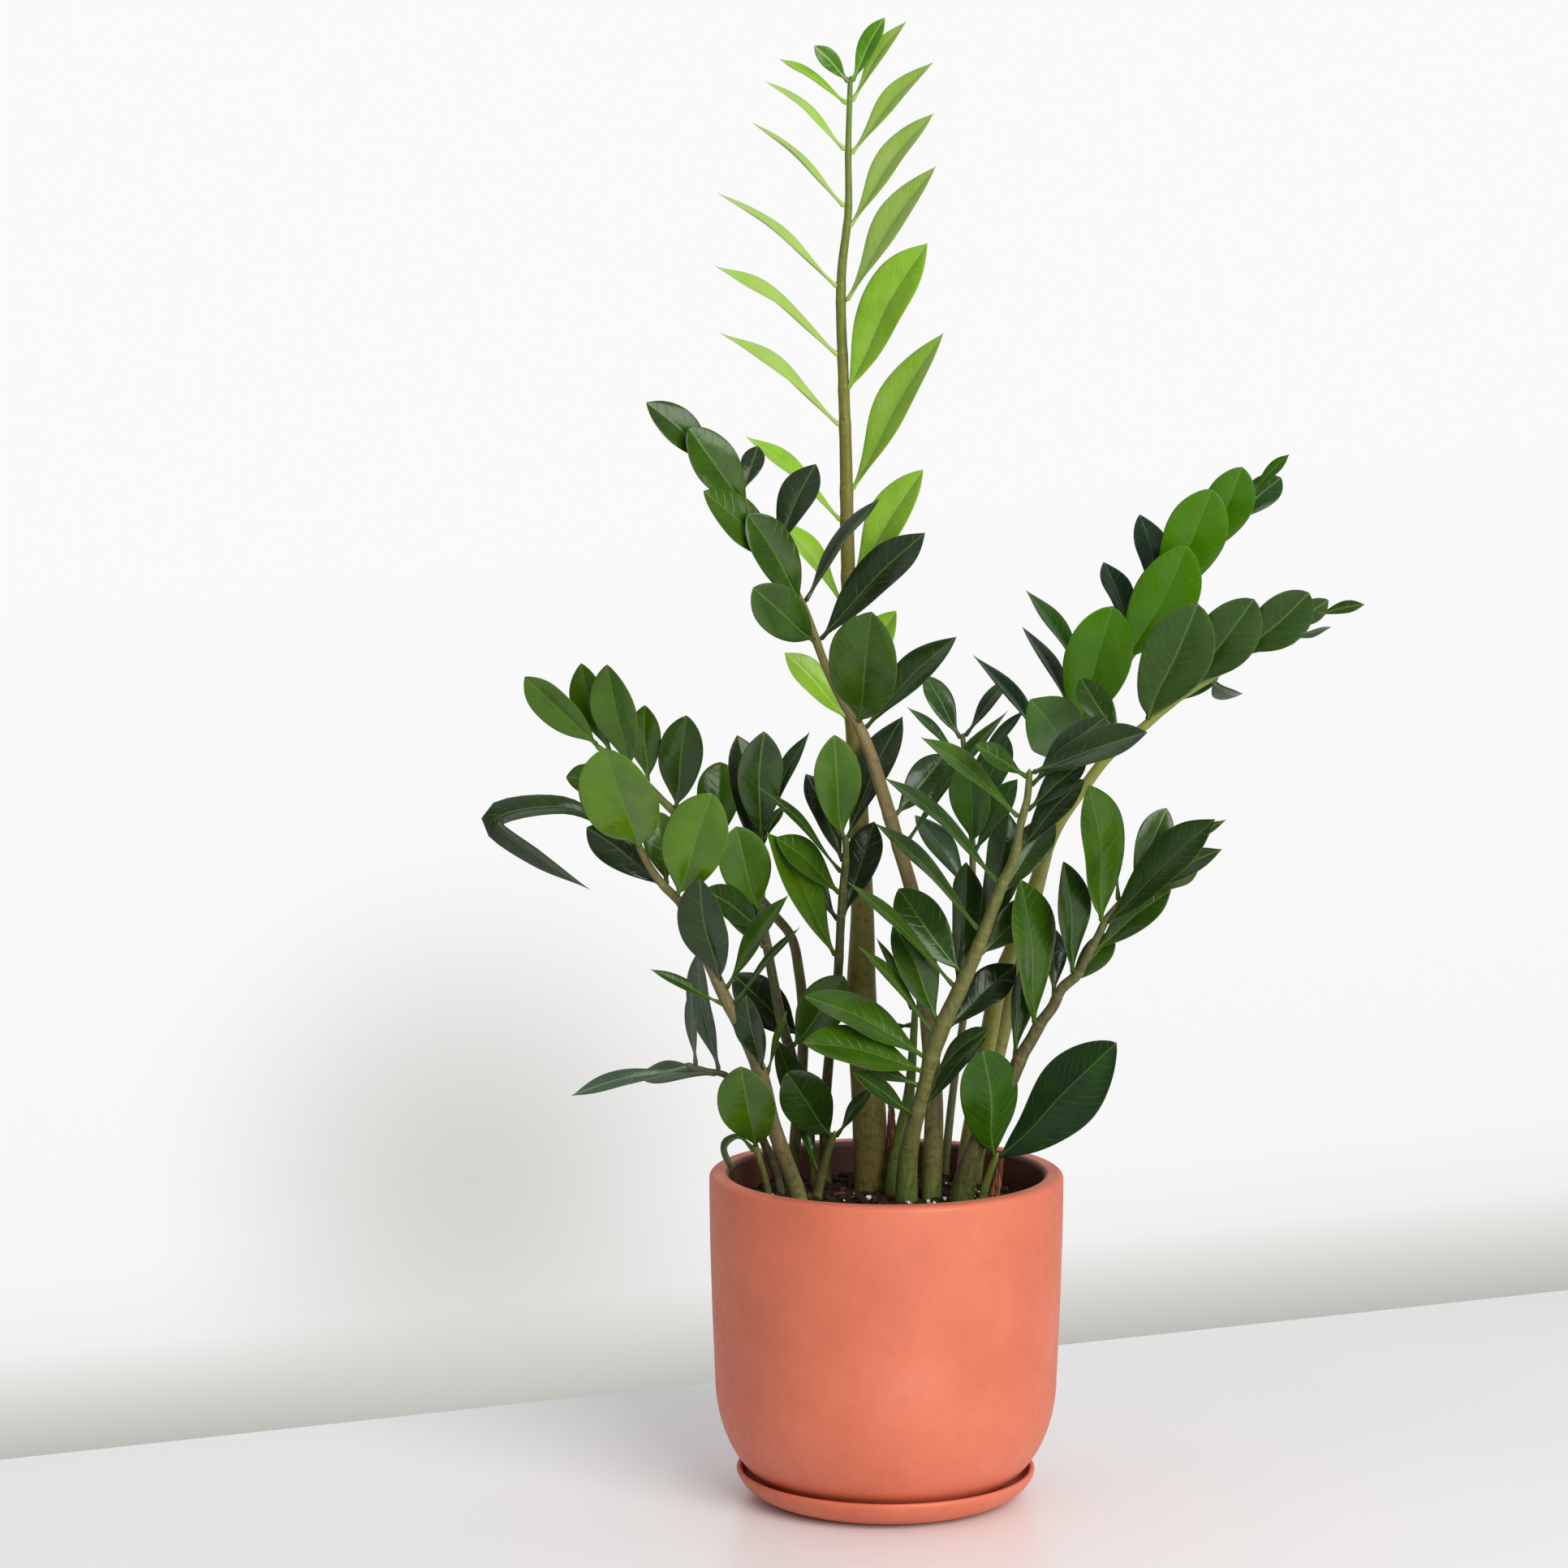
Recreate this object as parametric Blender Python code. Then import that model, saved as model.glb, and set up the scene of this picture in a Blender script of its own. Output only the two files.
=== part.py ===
"""A ZZ plant in a round clay pot that stands in a clay saucer.

The saucer's underside is on the floor at the origin, +Z is up and the front of
the plant looks along -Y. Every length below is in millimetres; MM turns it into
metres as the meshes are made.

The pieces are the saucer, the pot, the potting soil and, for each frond, its
stem and its two ranks of leaflets. A rank is one body: its leaflets grow from
a thin rib that runs beside the stem.
"""

import math

import bpy
import numpy as np

MM = 0.001

# Pot and saucer, turned clay.
ROUND_STEPS = 48
POT_HEIGHT = 168.0
POT_RADIUS = 90.0
POT_WALL = 10.0
POT_FOOT_HEIGHT = 6.3
POT_FLOOR = 9.0
SAUCER_FOOT_RADIUS = 58.0
SAUCER_RIM_RADIUS = 76.5
SAUCER_RIM_HEIGHT = 15.5
SAUCER_FLOOR = 6.0

# Soil, filled to a little under the rim.
SOIL_HEIGHT = 153.0
SOIL_LUMPS = 1.2
FIT_GAP = 0.4
PLANTING_DEPTH = 24.0

# Stems and leaflets.
STEM_SIDES = 8
RIB_GAP = 0.5
RIB_DEPTH = 1.0
RIB_HALF_WIDTH = 0.8
LEAF_THICKNESS = 1.2
LEAF_STALK = 4.5
LEAF_FOLD = math.radians(16.0)
LEAF_ARCH = 0.035
# Share of the blade's length, and share of its full width there.
BLADE_OUTLINE = ((0.0, 0.07), (0.24, 0.70), (0.56, 1.0), (0.83, 0.72))


def clear_scene():
    for obj in list(bpy.data.objects):
        bpy.data.objects.remove(obj, do_unlink=True)


def make_material(name, colour, roughness):
    """A plain Principled material of one colour."""
    material = bpy.data.materials.new(name)
    material.use_nodes = True
    shader = material.node_tree.nodes["Principled BSDF"]
    shader.inputs["Base Color"].default_value = (*colour, 1.0)
    shader.inputs["Roughness"].default_value = roughness
    return material


def add_object(name, points, faces, material):
    """A mesh object from points in millimetres."""
    mesh = bpy.data.meshes.new(name)
    mesh.from_pydata([tuple(MM * float(c) for c in p) for p in points], [], faces)
    mesh.validate()
    mesh.update()
    obj = bpy.data.objects.new(name, mesh)
    if material is not None:
        obj.data.materials.append(material)
    bpy.context.scene.collection.objects.link(obj)
    return obj


def turned_body(profile, steps):
    """Turn a profile of (radius, height) about Z; its ends lie on the axis.

    The profile runs from the bottom of the axis, outwards and up, and back to
    the top of the axis, so that the faces look outwards.
    """
    points = [(0.0, 0.0, profile[0][1])]
    for radius, height in profile[1:-1]:
        for step in range(steps):
            angle = 2.0 * math.pi * step / steps
            points.append((radius * math.cos(angle), radius * math.sin(angle), height))
    points.append((0.0, 0.0, profile[-1][1]))
    top = len(points) - 1
    rings = len(profile) - 2
    faces = []
    for step in range(steps):
        after = (step + 1) % steps
        faces.append((0, 1 + after, 1 + step))
        for ring in range(rings - 1):
            low = 1 + ring * steps
            high = low + steps
            faces.append((low + step, low + after, high + after, high + step))
        last = 1 + (rings - 1) * steps
        faces.append((last + step, last + after, top))
    return points, faces


def saucer_profile():
    """A shallow dish with a flat foot, a curved underside and a rounded lip."""
    lip = SAUCER_RIM_RADIUS
    top = SAUCER_RIM_HEIGHT
    return [
        (0.0, 0.0),
        (SAUCER_FOOT_RADIUS, 0.0),
        (lip - 10.5, 2.6),
        (lip - 4.5, 6.6),
        (lip - 1.0, 11.5),
        (lip, top - 1.2),
        (lip - 0.6, top),
        (lip - 2.4, top),
        (lip - 3.2, top - 1.4),
        (lip - 4.6, 10.4),
        (lip - 8.0, 7.4),
        (lip - 14.0, SAUCER_FLOOR),
        (0.0, SAUCER_FLOOR),
    ]


def pot_curve(height):
    """Outer radius of the pot: nearly upright, with a rounded lower corner."""
    if height >= 62.0:
        return 87.2 + 2.8 * math.sin(0.5 * math.pi * (height - 62.0) / 106.0)
    drop = (62.0 - height) / 56.0
    return 49.0 + 38.2 * math.sqrt(max(0.0, 1.0 - drop * drop))


def pot_profile():
    """The pot's wall: the outer curve up to the rounded rim, then the inside."""
    outer = [(0.0, POT_FOOT_HEIGHT)]
    for height in (6.3, 8.0, 12.0, 18.0, 26.0, 36.0, 48.0, 62.0, 90.0, 125.0):
        outer.append((pot_curve(height), height))
    outer.append((POT_RADIUS, POT_HEIGHT - 3.0))
    outer.append((POT_RADIUS - 0.9, POT_HEIGHT - 0.9))
    outer.append((POT_RADIUS - 3.0, POT_HEIGHT))
    inner_rim = POT_RADIUS - POT_WALL
    inner = [(inner_rim + 2.4, POT_HEIGHT)]
    inner.append((inner_rim + 0.7, POT_HEIGHT - 0.7))
    inner.append((inner_rim, POT_HEIGHT - 2.4))
    inner.extend(inside_of_pot(0.0))
    return outer + inner


def inside_of_pot(gap):
    """Inner wall and floor, drawn in by a gap, from under the rim to the axis."""
    floor = POT_FOOT_HEIGHT + POT_FLOOR + gap
    points = []
    for height in (145.0, 100.0, 62.0, 44.0, 31.0, 21.0):
        points.append((pot_curve(height) - POT_WALL + 0.4 - gap, height))
    points.append((46.0 - gap, floor))
    points.append((0.0, floor))
    return points


def soil_top(x, y):
    """Height of the soil: low lumps, lower towards the wall."""
    lumps = math.sin(0.21 * x + 1.3) * math.cos(0.19 * y - 0.4)
    lumps += 0.6 * math.sin(0.47 * x - 0.33 * y)
    return SOIL_HEIGHT + SOIL_LUMPS * lumps - 0.0004 * (x * x + y * y)


def soil_body():
    """Soil that fills the pot, with an uneven top."""
    sides = inside_of_pot(FIT_GAP)
    profile = sides[::-1]
    wall = sides[0][0] - 0.1
    for share in (1.0, 0.97, 0.84, 0.68, 0.5, 0.32, 0.15, 0.0):
        profile.append((wall * share, SOIL_HEIGHT))
    points, faces = turned_body(profile, ROUND_STEPS)
    shaped = []
    for x, y, z in points:
        if z == SOIL_HEIGHT:
            z = soil_top(x, y)
        shaped.append((x, y, z))
    return shaped, faces


def unit(vector):
    return vector / np.linalg.norm(vector)


class Stem:
    """A stem's middle line, its radius and a frame carried along it."""

    def __init__(self, stations):
        first = stations[0]
        below = (first[0], first[1], SOIL_HEIGHT - PLANTING_DEPTH, 0.9 * first[3])
        rows = np.array([below] + list(stations), float)
        self.points = rows[:, :3]
        self.radii = rows[:, 3]
        steps = np.linalg.norm(np.diff(self.points, axis=0), axis=1)
        self.along = np.concatenate([[0.0], np.cumsum(steps)])
        ahead = np.diff(self.points, axis=0)
        ahead /= steps[:, None]
        tangents = [ahead[0]]
        for one, two in zip(ahead[:-1], ahead[1:]):
            tangents.append(unit(one + two))
        tangents.append(ahead[-1])
        self.tangents = np.array(tangents)
        side = unit(np.cross(self.tangents[0], (0.0, -1.0, 0.0)))
        sides = []
        for tangent in self.tangents:
            side = unit(side - tangent * side.dot(tangent))
            sides.append(side)
        self.sides = np.array(sides)

    def length_at_height(self, height):
        """Distance along the stem to where it reaches this height."""
        return float(np.interp(height, self.points[:, 2], self.along))

    def at(self, length):
        """(point, radius, tangent, side, front) at a distance along the stem."""
        point = np.array([np.interp(length, self.along, c) for c in self.points.T])
        tangent = unit(
            np.array([np.interp(length, self.along, c) for c in self.tangents.T])
        )
        side = np.array([np.interp(length, self.along, c) for c in self.sides.T])
        side = unit(side - tangent * side.dot(tangent))
        radius = float(np.interp(length, self.along, self.radii))
        return point, radius, tangent, side, np.cross(tangent, side)

    def body(self, grow=0.0, sides=STEM_SIDES, stop=None):
        """The stem as a tapered bar; grow makes the cutter for its socket."""
        points = []
        lengths = [a for a in self.along if stop is None or a < stop]
        if stop is not None:
            lengths.append(stop)
        for length in lengths:
            point, radius, _, side, front = self.at(length)
            for step in range(sides):
                angle = 2.0 * math.pi * step / sides
                out = math.cos(angle) * side + math.sin(angle) * front
                points.append(point + (radius + grow) * out)
        if grow:
            for index in range(sides):
                points[index] = points[index] - np.array((0.0, 0.0, grow))
        rings = len(lengths)
        faces = [tuple(reversed(range(sides)))]
        for ring in range(rings - 1):
            for step in range(sides):
                after = (step + 1) % sides
                low = ring * sides
                high = low + sides
                faces.append((low + step, low + after, high + after, high + step))
        faces.append(tuple(range((rings - 1) * sides, rings * sides)))
        return points, faces


class Leaflet:
    """One leaflet: where it leaves its stem, where its tip is and how it turns.

    height is where its foot meets the stem, tip is measured from that foot,
    width is across the blade, and turn is how far the upper face is turned
    from the front towards the frond's tip, in degrees. Bends, if there are
    any, are further points of its middle line, also measured from the foot.
    """

    def __init__(self, stem, height, tip_x, tip_y, tip_z, width, turn, bends=()):
        self.length = stem.length_at_height(height)
        point, radius, tangent, side, front = stem.at(self.length)
        reach = np.array((tip_x, tip_y, tip_z), float)
        first = np.array(bends[0], float) if bends else reach
        out = unit(first - tangent * first.dot(tangent))
        self.angle = math.atan2(out.dot(front), out.dot(side))
        self.foot = point + out * (radius + RIB_GAP + RIB_DEPTH)
        self.tip = point + reach
        self.width = width
        self.bends = [point + np.array(bend, float) for bend in bends]
        span = unit((self.bends[0] if bends else self.tip) - self.foot)
        towards_front = np.array((0.0, -1.0, 0.0))
        facing = unit(towards_front - span * span.dot(towards_front))
        towards_tip = np.cross(span, facing)
        if towards_tip.dot(tangent) < 0.0:
            towards_tip = -towards_tip
        angle = math.radians(turn)
        self.normal = math.cos(angle) * facing + math.sin(angle) * towards_tip

    def middle_line(self):
        """The points of the middle line, from the foot over any bends to the tip."""
        return np.array([self.foot] + self.bends + [self.tip])

    def stations(self):
        """Cross sections (right, top, left, bottom) from the stalk to the tip."""
        knots = self.middle_line()
        steps = np.linalg.norm(np.diff(knots, axis=0), axis=1)
        along = np.concatenate([[0.0], np.cumsum(steps)])
        total = along[-1]
        stalk = min(LEAF_STALK, 0.16 * total)
        places = [(stalk / total, BLADE_OUTLINE[0][1] * self.width)]
        for share, wide in BLADE_OUTLINE[1:]:
            places.append((stalk / total + share * (1.0 - stalk / total), wide * self.width))
        if self.bends:
            shares = [place[0] for place in places] + [1.0]
            widths = [place[1] for place in places] + [0.0]
            for length in along[1:-1]:
                share = length / total
                places.append((share, float(np.interp(share, shares, widths))))
            places.sort()
        sections = []
        for share, wide in places:
            length = share * total
            centre = np.array([np.interp(length, along, c) for c in knots.T])
            ahead = np.array([np.interp(min(total, length + 0.5), along, c) for c in knots.T])
            behind = np.array([np.interp(max(0.0, length - 0.5), along, c) for c in knots.T])
            run = unit(ahead - behind)
            normal = unit(self.normal - run * run.dot(self.normal))
            across = np.cross(normal, run)
            arch = 0.0 if self.bends else LEAF_ARCH * total * 4.0 * share * (1.0 - share)
            centre = centre + arch * normal
            half = max(0.5 * wide, 0.6)
            edge_out = half * math.cos(LEAF_FOLD)
            edge_up = half * math.sin(LEAF_FOLD)
            thick = LEAF_THICKNESS * (1.0 - 0.3 * share)
            right = centre + edge_out * across + edge_up * normal
            left = centre - edge_out * across + edge_up * normal
            top = centre + 0.4 * thick * normal
            bottom = centre - 0.6 * thick * normal
            sections.append((right, top, left, bottom))
        return sections


def leaf_tube(points, faces, root, sections, tip):
    """Grow a leaflet from four root corners through its sections to its tip."""
    first = np.array(sections[0])
    corners = np.array([points[index] for index in root])
    gaps = []
    for shift in range(4):
        gaps.append(np.linalg.norm(np.roll(corners, -shift, axis=0) - first, axis=1).sum())
    shift = int(np.argmin(gaps))
    ring = list(root[shift:]) + list(root[:shift])
    for section in sections:
        start = len(points)
        points.extend(section)
        after = [start, start + 1, start + 2, start + 3]
        right, top, left, bottom = ring
        right_on, top_on, left_on, bottom_on = after
        faces.append((right, top, top_on))
        faces.append((right, top_on, right_on))
        faces.append((top, left, top_on))
        faces.append((left, left_on, top_on))
        faces.append((left, bottom, bottom_on))
        faces.append((left, bottom_on, left_on))
        faces.append((bottom, right, bottom_on))
        faces.append((right, right_on, bottom_on))
        ring = after
    end = len(points)
    points.append(tip)
    for one, two in zip(ring, ring[1:] + ring[:1]):
        faces.append((one, two, end))


def rib_ring(stem, length, angle):
    """The rib's three corners beside the stem: two outer ones and the ridge."""
    point, radius, tangent, side, front = stem.at(length)
    out = math.cos(angle) * side + math.sin(angle) * front
    across = np.cross(tangent, out)
    inner = point + (radius + RIB_GAP) * out
    outer = inner + RIB_DEPTH * out
    return [outer - RIB_HALF_WIDTH * across, outer + RIB_HALF_WIDTH * across, inner]


def rank_body(stem, leaflets):
    """A rib beside the stem with one rank of leaflets growing from it."""
    leaflets = sorted(leaflets, key=lambda leaflet: leaflet.length)
    rings = []
    last = None
    for leaflet in leaflets:
        angle = leaflet.angle
        if last is not None:
            while angle - last[1] > math.pi:
                angle -= 2.0 * math.pi
            while angle - last[1] < -math.pi:
                angle += 2.0 * math.pi
            start = last[0] + 1.0
            end = leaflet.length - 1.0
            between = [a for a in stem.along if start + 1.0 < a < end - 1.0]
            parts = 1 + int(abs(angle - last[1]) / math.radians(30.0))
            for part in range(1, parts):
                between.append(start + (end - start) * part / parts)
            for length in sorted(between):
                share = (length - start) / (end - start)
                rings.append((length, last[1] + share * (angle - last[1]), None))
        rings.append((leaflet.length - 1.0, angle, leaflet))
        rings.append((leaflet.length + 1.0, angle, None))
        last = (leaflet.length, angle)
    points = []
    faces = [(2, 1, 0)]
    for length, angle, _ in rings:
        points.extend(rib_ring(stem, length, angle))
    for index, (_, _, leaflet) in enumerate(rings[:-1]):
        low = 3 * index
        high = low + 3
        if leaflet is None:
            faces.append((low, low + 1, high + 1, high))
        else:
            root = (low, low + 1, high + 1, high)
            leaf_tube(points, faces, root, leaflet.stations(), leaflet.tip)
        faces.append((low + 1, low + 2, high + 2, high + 1))
        faces.append((low + 2, low, high, high + 2))
    end = 3 * (len(rings) - 1)
    faces.append((end, end + 1, end + 2))
    return points, faces


# Each frond: its stem as (x, y, height, radius) stations from the soil up, then
# its leaflets as (height of the foot, tip x, tip y, tip z, width, turn).
FRONDS = {
    # The tallest, still opening at its top, with slim young leaflets.
    "tall_young": dict(
        stem=[
            (-7, 25, 153, 8.8),
            (-9, 24, 208, 8.6),
            (-12, 24, 246, 8.0),
            (-12, 23, 302, 5.8),
            (-15, 23, 366, 4.8),
            (-18, 22, 420, 4.0),
            (-20, 20, 490, 3.5),
            (-21, 18, 538, 3.1),
            (-22, 17, 566, 2.8),
            (-23, 15, 624, 2.3),
            (-20, 14, 651, 1.9),
            (-20, 13, 682, 1.6),
            (-19, 12, 719, 1.2),
        ],
        left=[
            (397, -35, -8, 34, 18, 30),
            (455, -36, 0, 43, 18, 55),
            (497, -51, -5, 43, 18, 65),
            (545, -63, -8, 47, 20, 70),
            (580, -64, -8, 45, 20, 70),
            (614, -62, -6, 47, 18, 75),
            (654, -48, -5, 42, 15, 75),
            (682, -41, -4, 34, 13, 65),
            (705, -35, -4, 22, 10, 55),
            (716, -18, -8, 17, 10, 5),
        ],
        right=[
            (355, 18, -4, 40, 13, 40),
            (412, 22, -18, 41, 19, 30),
            (469, 37, -20, 55, 25, 35),
            (512, 48, -20, 80, 28, 50),
            (563, 41, -25, 73, 31, 35),
            (607, 46, -18, 67, 24, 55),
            (644, 43, -16, 56, 20, 50),
            (680, 42, -14, 45, 16, 50),
            (706, 28, -12, 39, 12, 50),
            (716, 17, -8, 31, 12, 25),
        ],
    ),
    # Bends far to the left in front of the tall one.
    "left_leaning": dict(
        stem=[
            (23, 0, 153, 5.2),
            (24, -3, 207, 4.6),
            (21, -5, 244, 4.1),
            (18, -7, 274, 3.8),
            (13, -9, 310, 3.6),
            (7, -11, 331, 3.5),
            (-3, -13, 364, 3.4),
            (-9, -15, 383, 3.1),
            (-15, -16, 397, 2.8),
            (-21, -17, 406, 2.4),
            (-30, -19, 424, 2.2),
            (-43, -22, 458, 1.9),
            (-56, -25, 482, 1.6),
            (-70, -27, 506, 1.4),
            (-86, -30, 530, 1.0),
        ],
        left=[
            (398, 6, -60, 60, 38, 20),
            (440, -31, -30, 28, 25, 5),
            (458, -27, -22, 46, 25, 25),
            (479, -37, -25, 36, 24, 35),
            (504, -30, -18, 42, 25, 25),
            (526, -36, -14, 32, 20, 30),
        ],
        right=[
            (335, 54, -8, 70, 14, 60),
            (350, 28, 20, 30, 19, 15),
            (394, 48, 6, 47, 22, 45),
            (439, 54, 8, 54, 27, 40),
            (458, 39, 18, 52, 18, 65),
            (484, 21, 16, 43, 20, 25),
            (512, 9, 14, 24, 12, 10),
        ],
    ),
    # Bright mature leaflets, leaning right and back.
    "bright_right": dict(
        stem=[
            (47, 53, 153, 4.4),
            (57, 60, 206, 4.2),
            (68, 65, 252, 3.9),
            (84, 71, 319, 3.4),
            (102, 77, 386, 3.0),
            (119, 80, 411, 2.5),
            (131, 82, 428, 2.3),
            (149, 86, 453, 1.9),
            (164, 89, 472, 1.7),
            (179, 92, 491, 1.5),
            (193, 95, 510, 1.1),
        ],
        left=[
            (361, -49, 6, 64, 20, 70),
            (371, -26, -68, 37, 33, 5),
            (388, -30, 26, 50, 18, 65),
            (400, -37, 12, 58, 22, 65),
            (428, -15, 22, 44, 20, 40),
            (447, -10, 18, 50, 22, 30),
        ],
        right=[
            (386, 15, -22, 66, 37, 5),
            (421, 29, -24, 62, 35, 5),
            (452, 20, -22, 60, 34, 5),
            (475, 18, -20, 48, 27, 5),
            (494, 28, 15, 22, 17, 10),
            (507, 20, -8, 22, 8, 35),
        ],
    ),
    # Lower one to the right, its broad leaflets standing in a row.
    "far_right": dict(
        stem=[
            (42, 38, 153, 5.2),
            (48, 32, 201, 4.8),
            (52, 28, 226, 4.6),
            (60, 22, 267, 4.2),
            (66, 20, 283, 3.8),
            (75, 16, 311, 3.4),
            (87, 11, 344, 3.1),
            (100, 7, 364, 2.9),
            (110, 4, 378, 2.7),
            (130, -1, 396, 2.2),
            (145, -4, 409, 2.0),
            (163, -8, 421, 1.7),
            (181, -11, 434, 1.4),
            (200, -15, 446, 1.2),
            (213, -18, 455, 0.9),
        ],
        left=[
            (386, -21, 12, 32, 17, 15),
            (397, 21, -31, 62, 36, 5),
            (414, 28, -22, 47, 31, 5),
            (431, 31, -16, 33, 27, 5),
            (443, 23, -6, 17, 13, 15),
        ],
        right=[
            (406, 27, 34, 25, 21, 15),
            (420, 16, 30, -12, 15, -45),
            (431, 31, 30, 14, 18, 30),
            (442, 29, 14, 3, 9, -60),
            (453, 26, -6, 5, 7, 25),
        ],
    ),
    # Leans left and towards the front, with broad drooping leaflets.
    "front_left": dict(
        stem=[
            (-44, -14, 153, 4.4),
            (-52, -22, 180, 4.0),
            (-58, -27, 199, 3.8),
            (-62, -32, 218, 3.7),
            (-68, -37, 236, 3.5),
            (-75, -42, 252, 3.3),
            (-81, -45, 264, 3.1),
            (-87, -50, 278, 2.9),
            (-93, -54, 291, 2.7),
            (-98, -58, 304, 2.4),
            (-103, -61, 314, 2.2),
            (-111, -65, 323, 2.1),
            (-119, -69, 335, 1.9),
            (-124, -72, 346, 1.6),
        ],
        left=[
            (262, -38, -16, 19, 7, 40),
            (322, -39, 14, 28, 21, 15),
            (344, -22, -20, -20, 20, 50, ((-36, -14, 20), (-70, -15, 13), (-48, -20, -3))),
        ],
        right=[
            (222, 13, -6, 35, 5, 40),
            (226, -6, -18, 41, 19, 35),
            (260, 35, -24, 43, 6, 50),
            (268, 33, -30, 52, 14, 45),
            (273, -8, -35, 56, 27, 25),
            (317, 19, -34, 55, 33, 5),
            (322, -3, 10, 36, 18, 5),
            (343, -14, -58, 54, 39, 10),
        ],
    ),
    # Behind the last one, leaning left and back.
    "back_left": dict(
        stem=[
            (-47, 50, 153, 3.2),
            (-46, 50, 176, 3.1),
            (-43, 51, 206, 3.0),
            (-42, 51, 227, 2.8),
            (-44, 52, 261, 2.7),
            (-49, 52, 282, 2.5),
            (-57, 51, 292, 2.5),
            (-80, 48, 319, 2.3),
            (-103, 45, 342, 2.3),
            (-111, 44, 349, 2.1),
            (-125, 43, 363, 1.9),
            (-138, 41, 373, 1.7),
            (-149, 40, 382, 1.3),
        ],
        left=[
            (229, -36, -24, 36, 24, 5),
            (366, -36, 16, -3, 16, 5),
            (376, -14, -4, 48, 21, 30),
            (381, -36, -14, 37, 23, 25),
        ],
        right=[
            (328, 4, 12, 43, 24, 5),
            (347, 7, -16, 51, 24, 5),
            (361, 0, -12, 42, 18, 5),
            (368, -10, -26, 57, 27, 30),
        ],
    ),
    # Upright, left of the middle.
    "left_upright": dict(
        stem=[
            (-36, 38, 153, 2.8),
            (-42, 30, 193, 2.7),
            (-46, 25, 215, 2.7),
            (-53, 19, 241, 2.7),
            (-58, 13, 267, 2.5),
            (-61, 9, 285, 2.3),
            (-64, 4, 302, 2.1),
            (-63, 1, 315, 1.9),
            (-64, -3, 330, 1.7),
            (-64, -6, 344, 1.4),
        ],
        left=[
            (281, -22, -4, 32, 17, 15),
            (292, -30, -34, 24, 18, 30),
            (302, -12, -26, 45, 27, 5),
            (325, -12, 8, 65, 26, 30),
            (340, 2, -20, 55, 25, 15),
        ],
        right=[
            (228, 28, -22, 40, 25, 10),
            (336, 12, 5, 19, 7, 45),
            (342, 25, -10, 52, 12, 50),
        ],
    ),
    # Upright, in front of the tall one.
    "centre_upright": dict(
        stem=[
            (-30, 45, 153, 2.8),
            (-31, 37, 187, 2.7),
            (-30, 32, 206, 2.7),
            (-29, 28, 219, 2.6),
            (-25, 18, 257, 2.5),
            (-24, 12, 275, 2.3),
            (-23, 4, 300, 2.1),
            (-22, 0, 315, 2.0),
            (-21, -4, 327, 1.8),
            (-21, -8, 341, 1.5),
        ],
        left=[
            (276, -37, -30, 68, 24, 40),
            (295, -26, 14, 31, 16, 40),
            (310, -34, -20, 31, 19, 40),
            (321, -43, -30, 47, 8, 55),
            (326, -20, 4, 45, 19, 35),
            (339, -6, -16, 54, 25, 10),
        ],
        right=[
            (297, 17, 12, 48, 20, 20),
            (338, 29, 20, 61, 23, 40),
        ],
    ),
    # In front, right of the middle, with narrow leaflets seen on edge.
    "front_right": dict(
        stem=[
            (10, -8, 153, 5.8),
            (11, -14, 180, 4.9),
            (15, -22, 202, 3.8),
            (19, -27, 219, 3.4),
            (22, -31, 233, 4.2),
            (28, -36, 251, 4.1),
            (35, -41, 267, 3.8),
            (42, -48, 285, 3.4),
            (50, -56, 308, 3.0),
            (55, -61, 323, 2.7),
            (61, -66, 338, 2.4),
            (63, -71, 353, 2.0),
            (66, -75, 366, 1.8),
            (67, -80, 382, 1.4),
        ],
        left=[
            (201, -33, -28, 27, 14, 50),
            (216, -35, -4, 12, 12, 50),
            (224, -63, -30, 20, 27, 50),
            (231, -64, -14, 34, 27, 55),
            (243, -41, -16, 48, 11, 60),
            (249, -25, -4, 52, 23, 25),
            (268, -57, -20, 57, 14, 65),
            (275, -33, 13, 42, 24, 10),
            (298, -55, -18, 57, 18, 65),
            (323, -59, -18, 55, 18, 65),
            (357, -50, -14, 41, 18, 60),
            (378, -27, -14, 17, 13, 40),
        ],
        right=[
            (203, 35, 4, 38, 14, 55),
            (223, 30, -16, 26, 14, 50),
            (246, 38, 14, 31, 20, 25),
            (267, 4, 20, 62, 25, 40),
            (285, 33, 10, 28, 18, 10),
            (291, 16, 24, 63, 27, 35),
            (315, 29, 18, 39, 19, 15),
            (340, 33, -4, 36, 18, 40),
            (361, 30, -6, 25, 15, 30),
            (373, 39, 6, 34, 18, 45),
            (380, 55, -24, 22, 24, 50),
        ],
    ),
    # Low, leaning right over the rim.
    "lower_right": dict(
        stem=[
            (38, -8, 153, 6.4),
            (44, -15, 182, 4.9),
            (53, -19, 202, 4.2),
            (62, -24, 219, 3.7),
            (67, -27, 232, 3.5),
            (72, -29, 241, 3.2),
            (76, -31, 249, 3.0),
            (82, -34, 258, 2.8),
            (86, -36, 267, 2.6),
            (94, -38, 275, 2.5),
            (98, -41, 284, 2.2),
            (104, -44, 296, 2.0),
            (107, -46, 303, 1.8),
            (116, -49, 315, 1.5),
            (122, -52, 327, 1.1),
        ],
        left=[
            (229, 0, -4, 48, 17, 45),
            (247, -11, -26, 78, 32, 45),
            (262, -3, 14, 36, 15, 30),
            (274, -8, -20, 60, 25, 45),
            (301, -10, -24, 72, 32, 40),
            (312, -6, 18, 45, 7, 60),
            (322, 17, 4, 37, 18, 5),
        ],
        right=[
            (269, 24, 2, 26, 15, 5),
            (287, 40, -2, 31, 18, 20),
            (302, 51, -30, 55, 28, 50),
            (313, 42, 34, 12, 15, 30),
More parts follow.
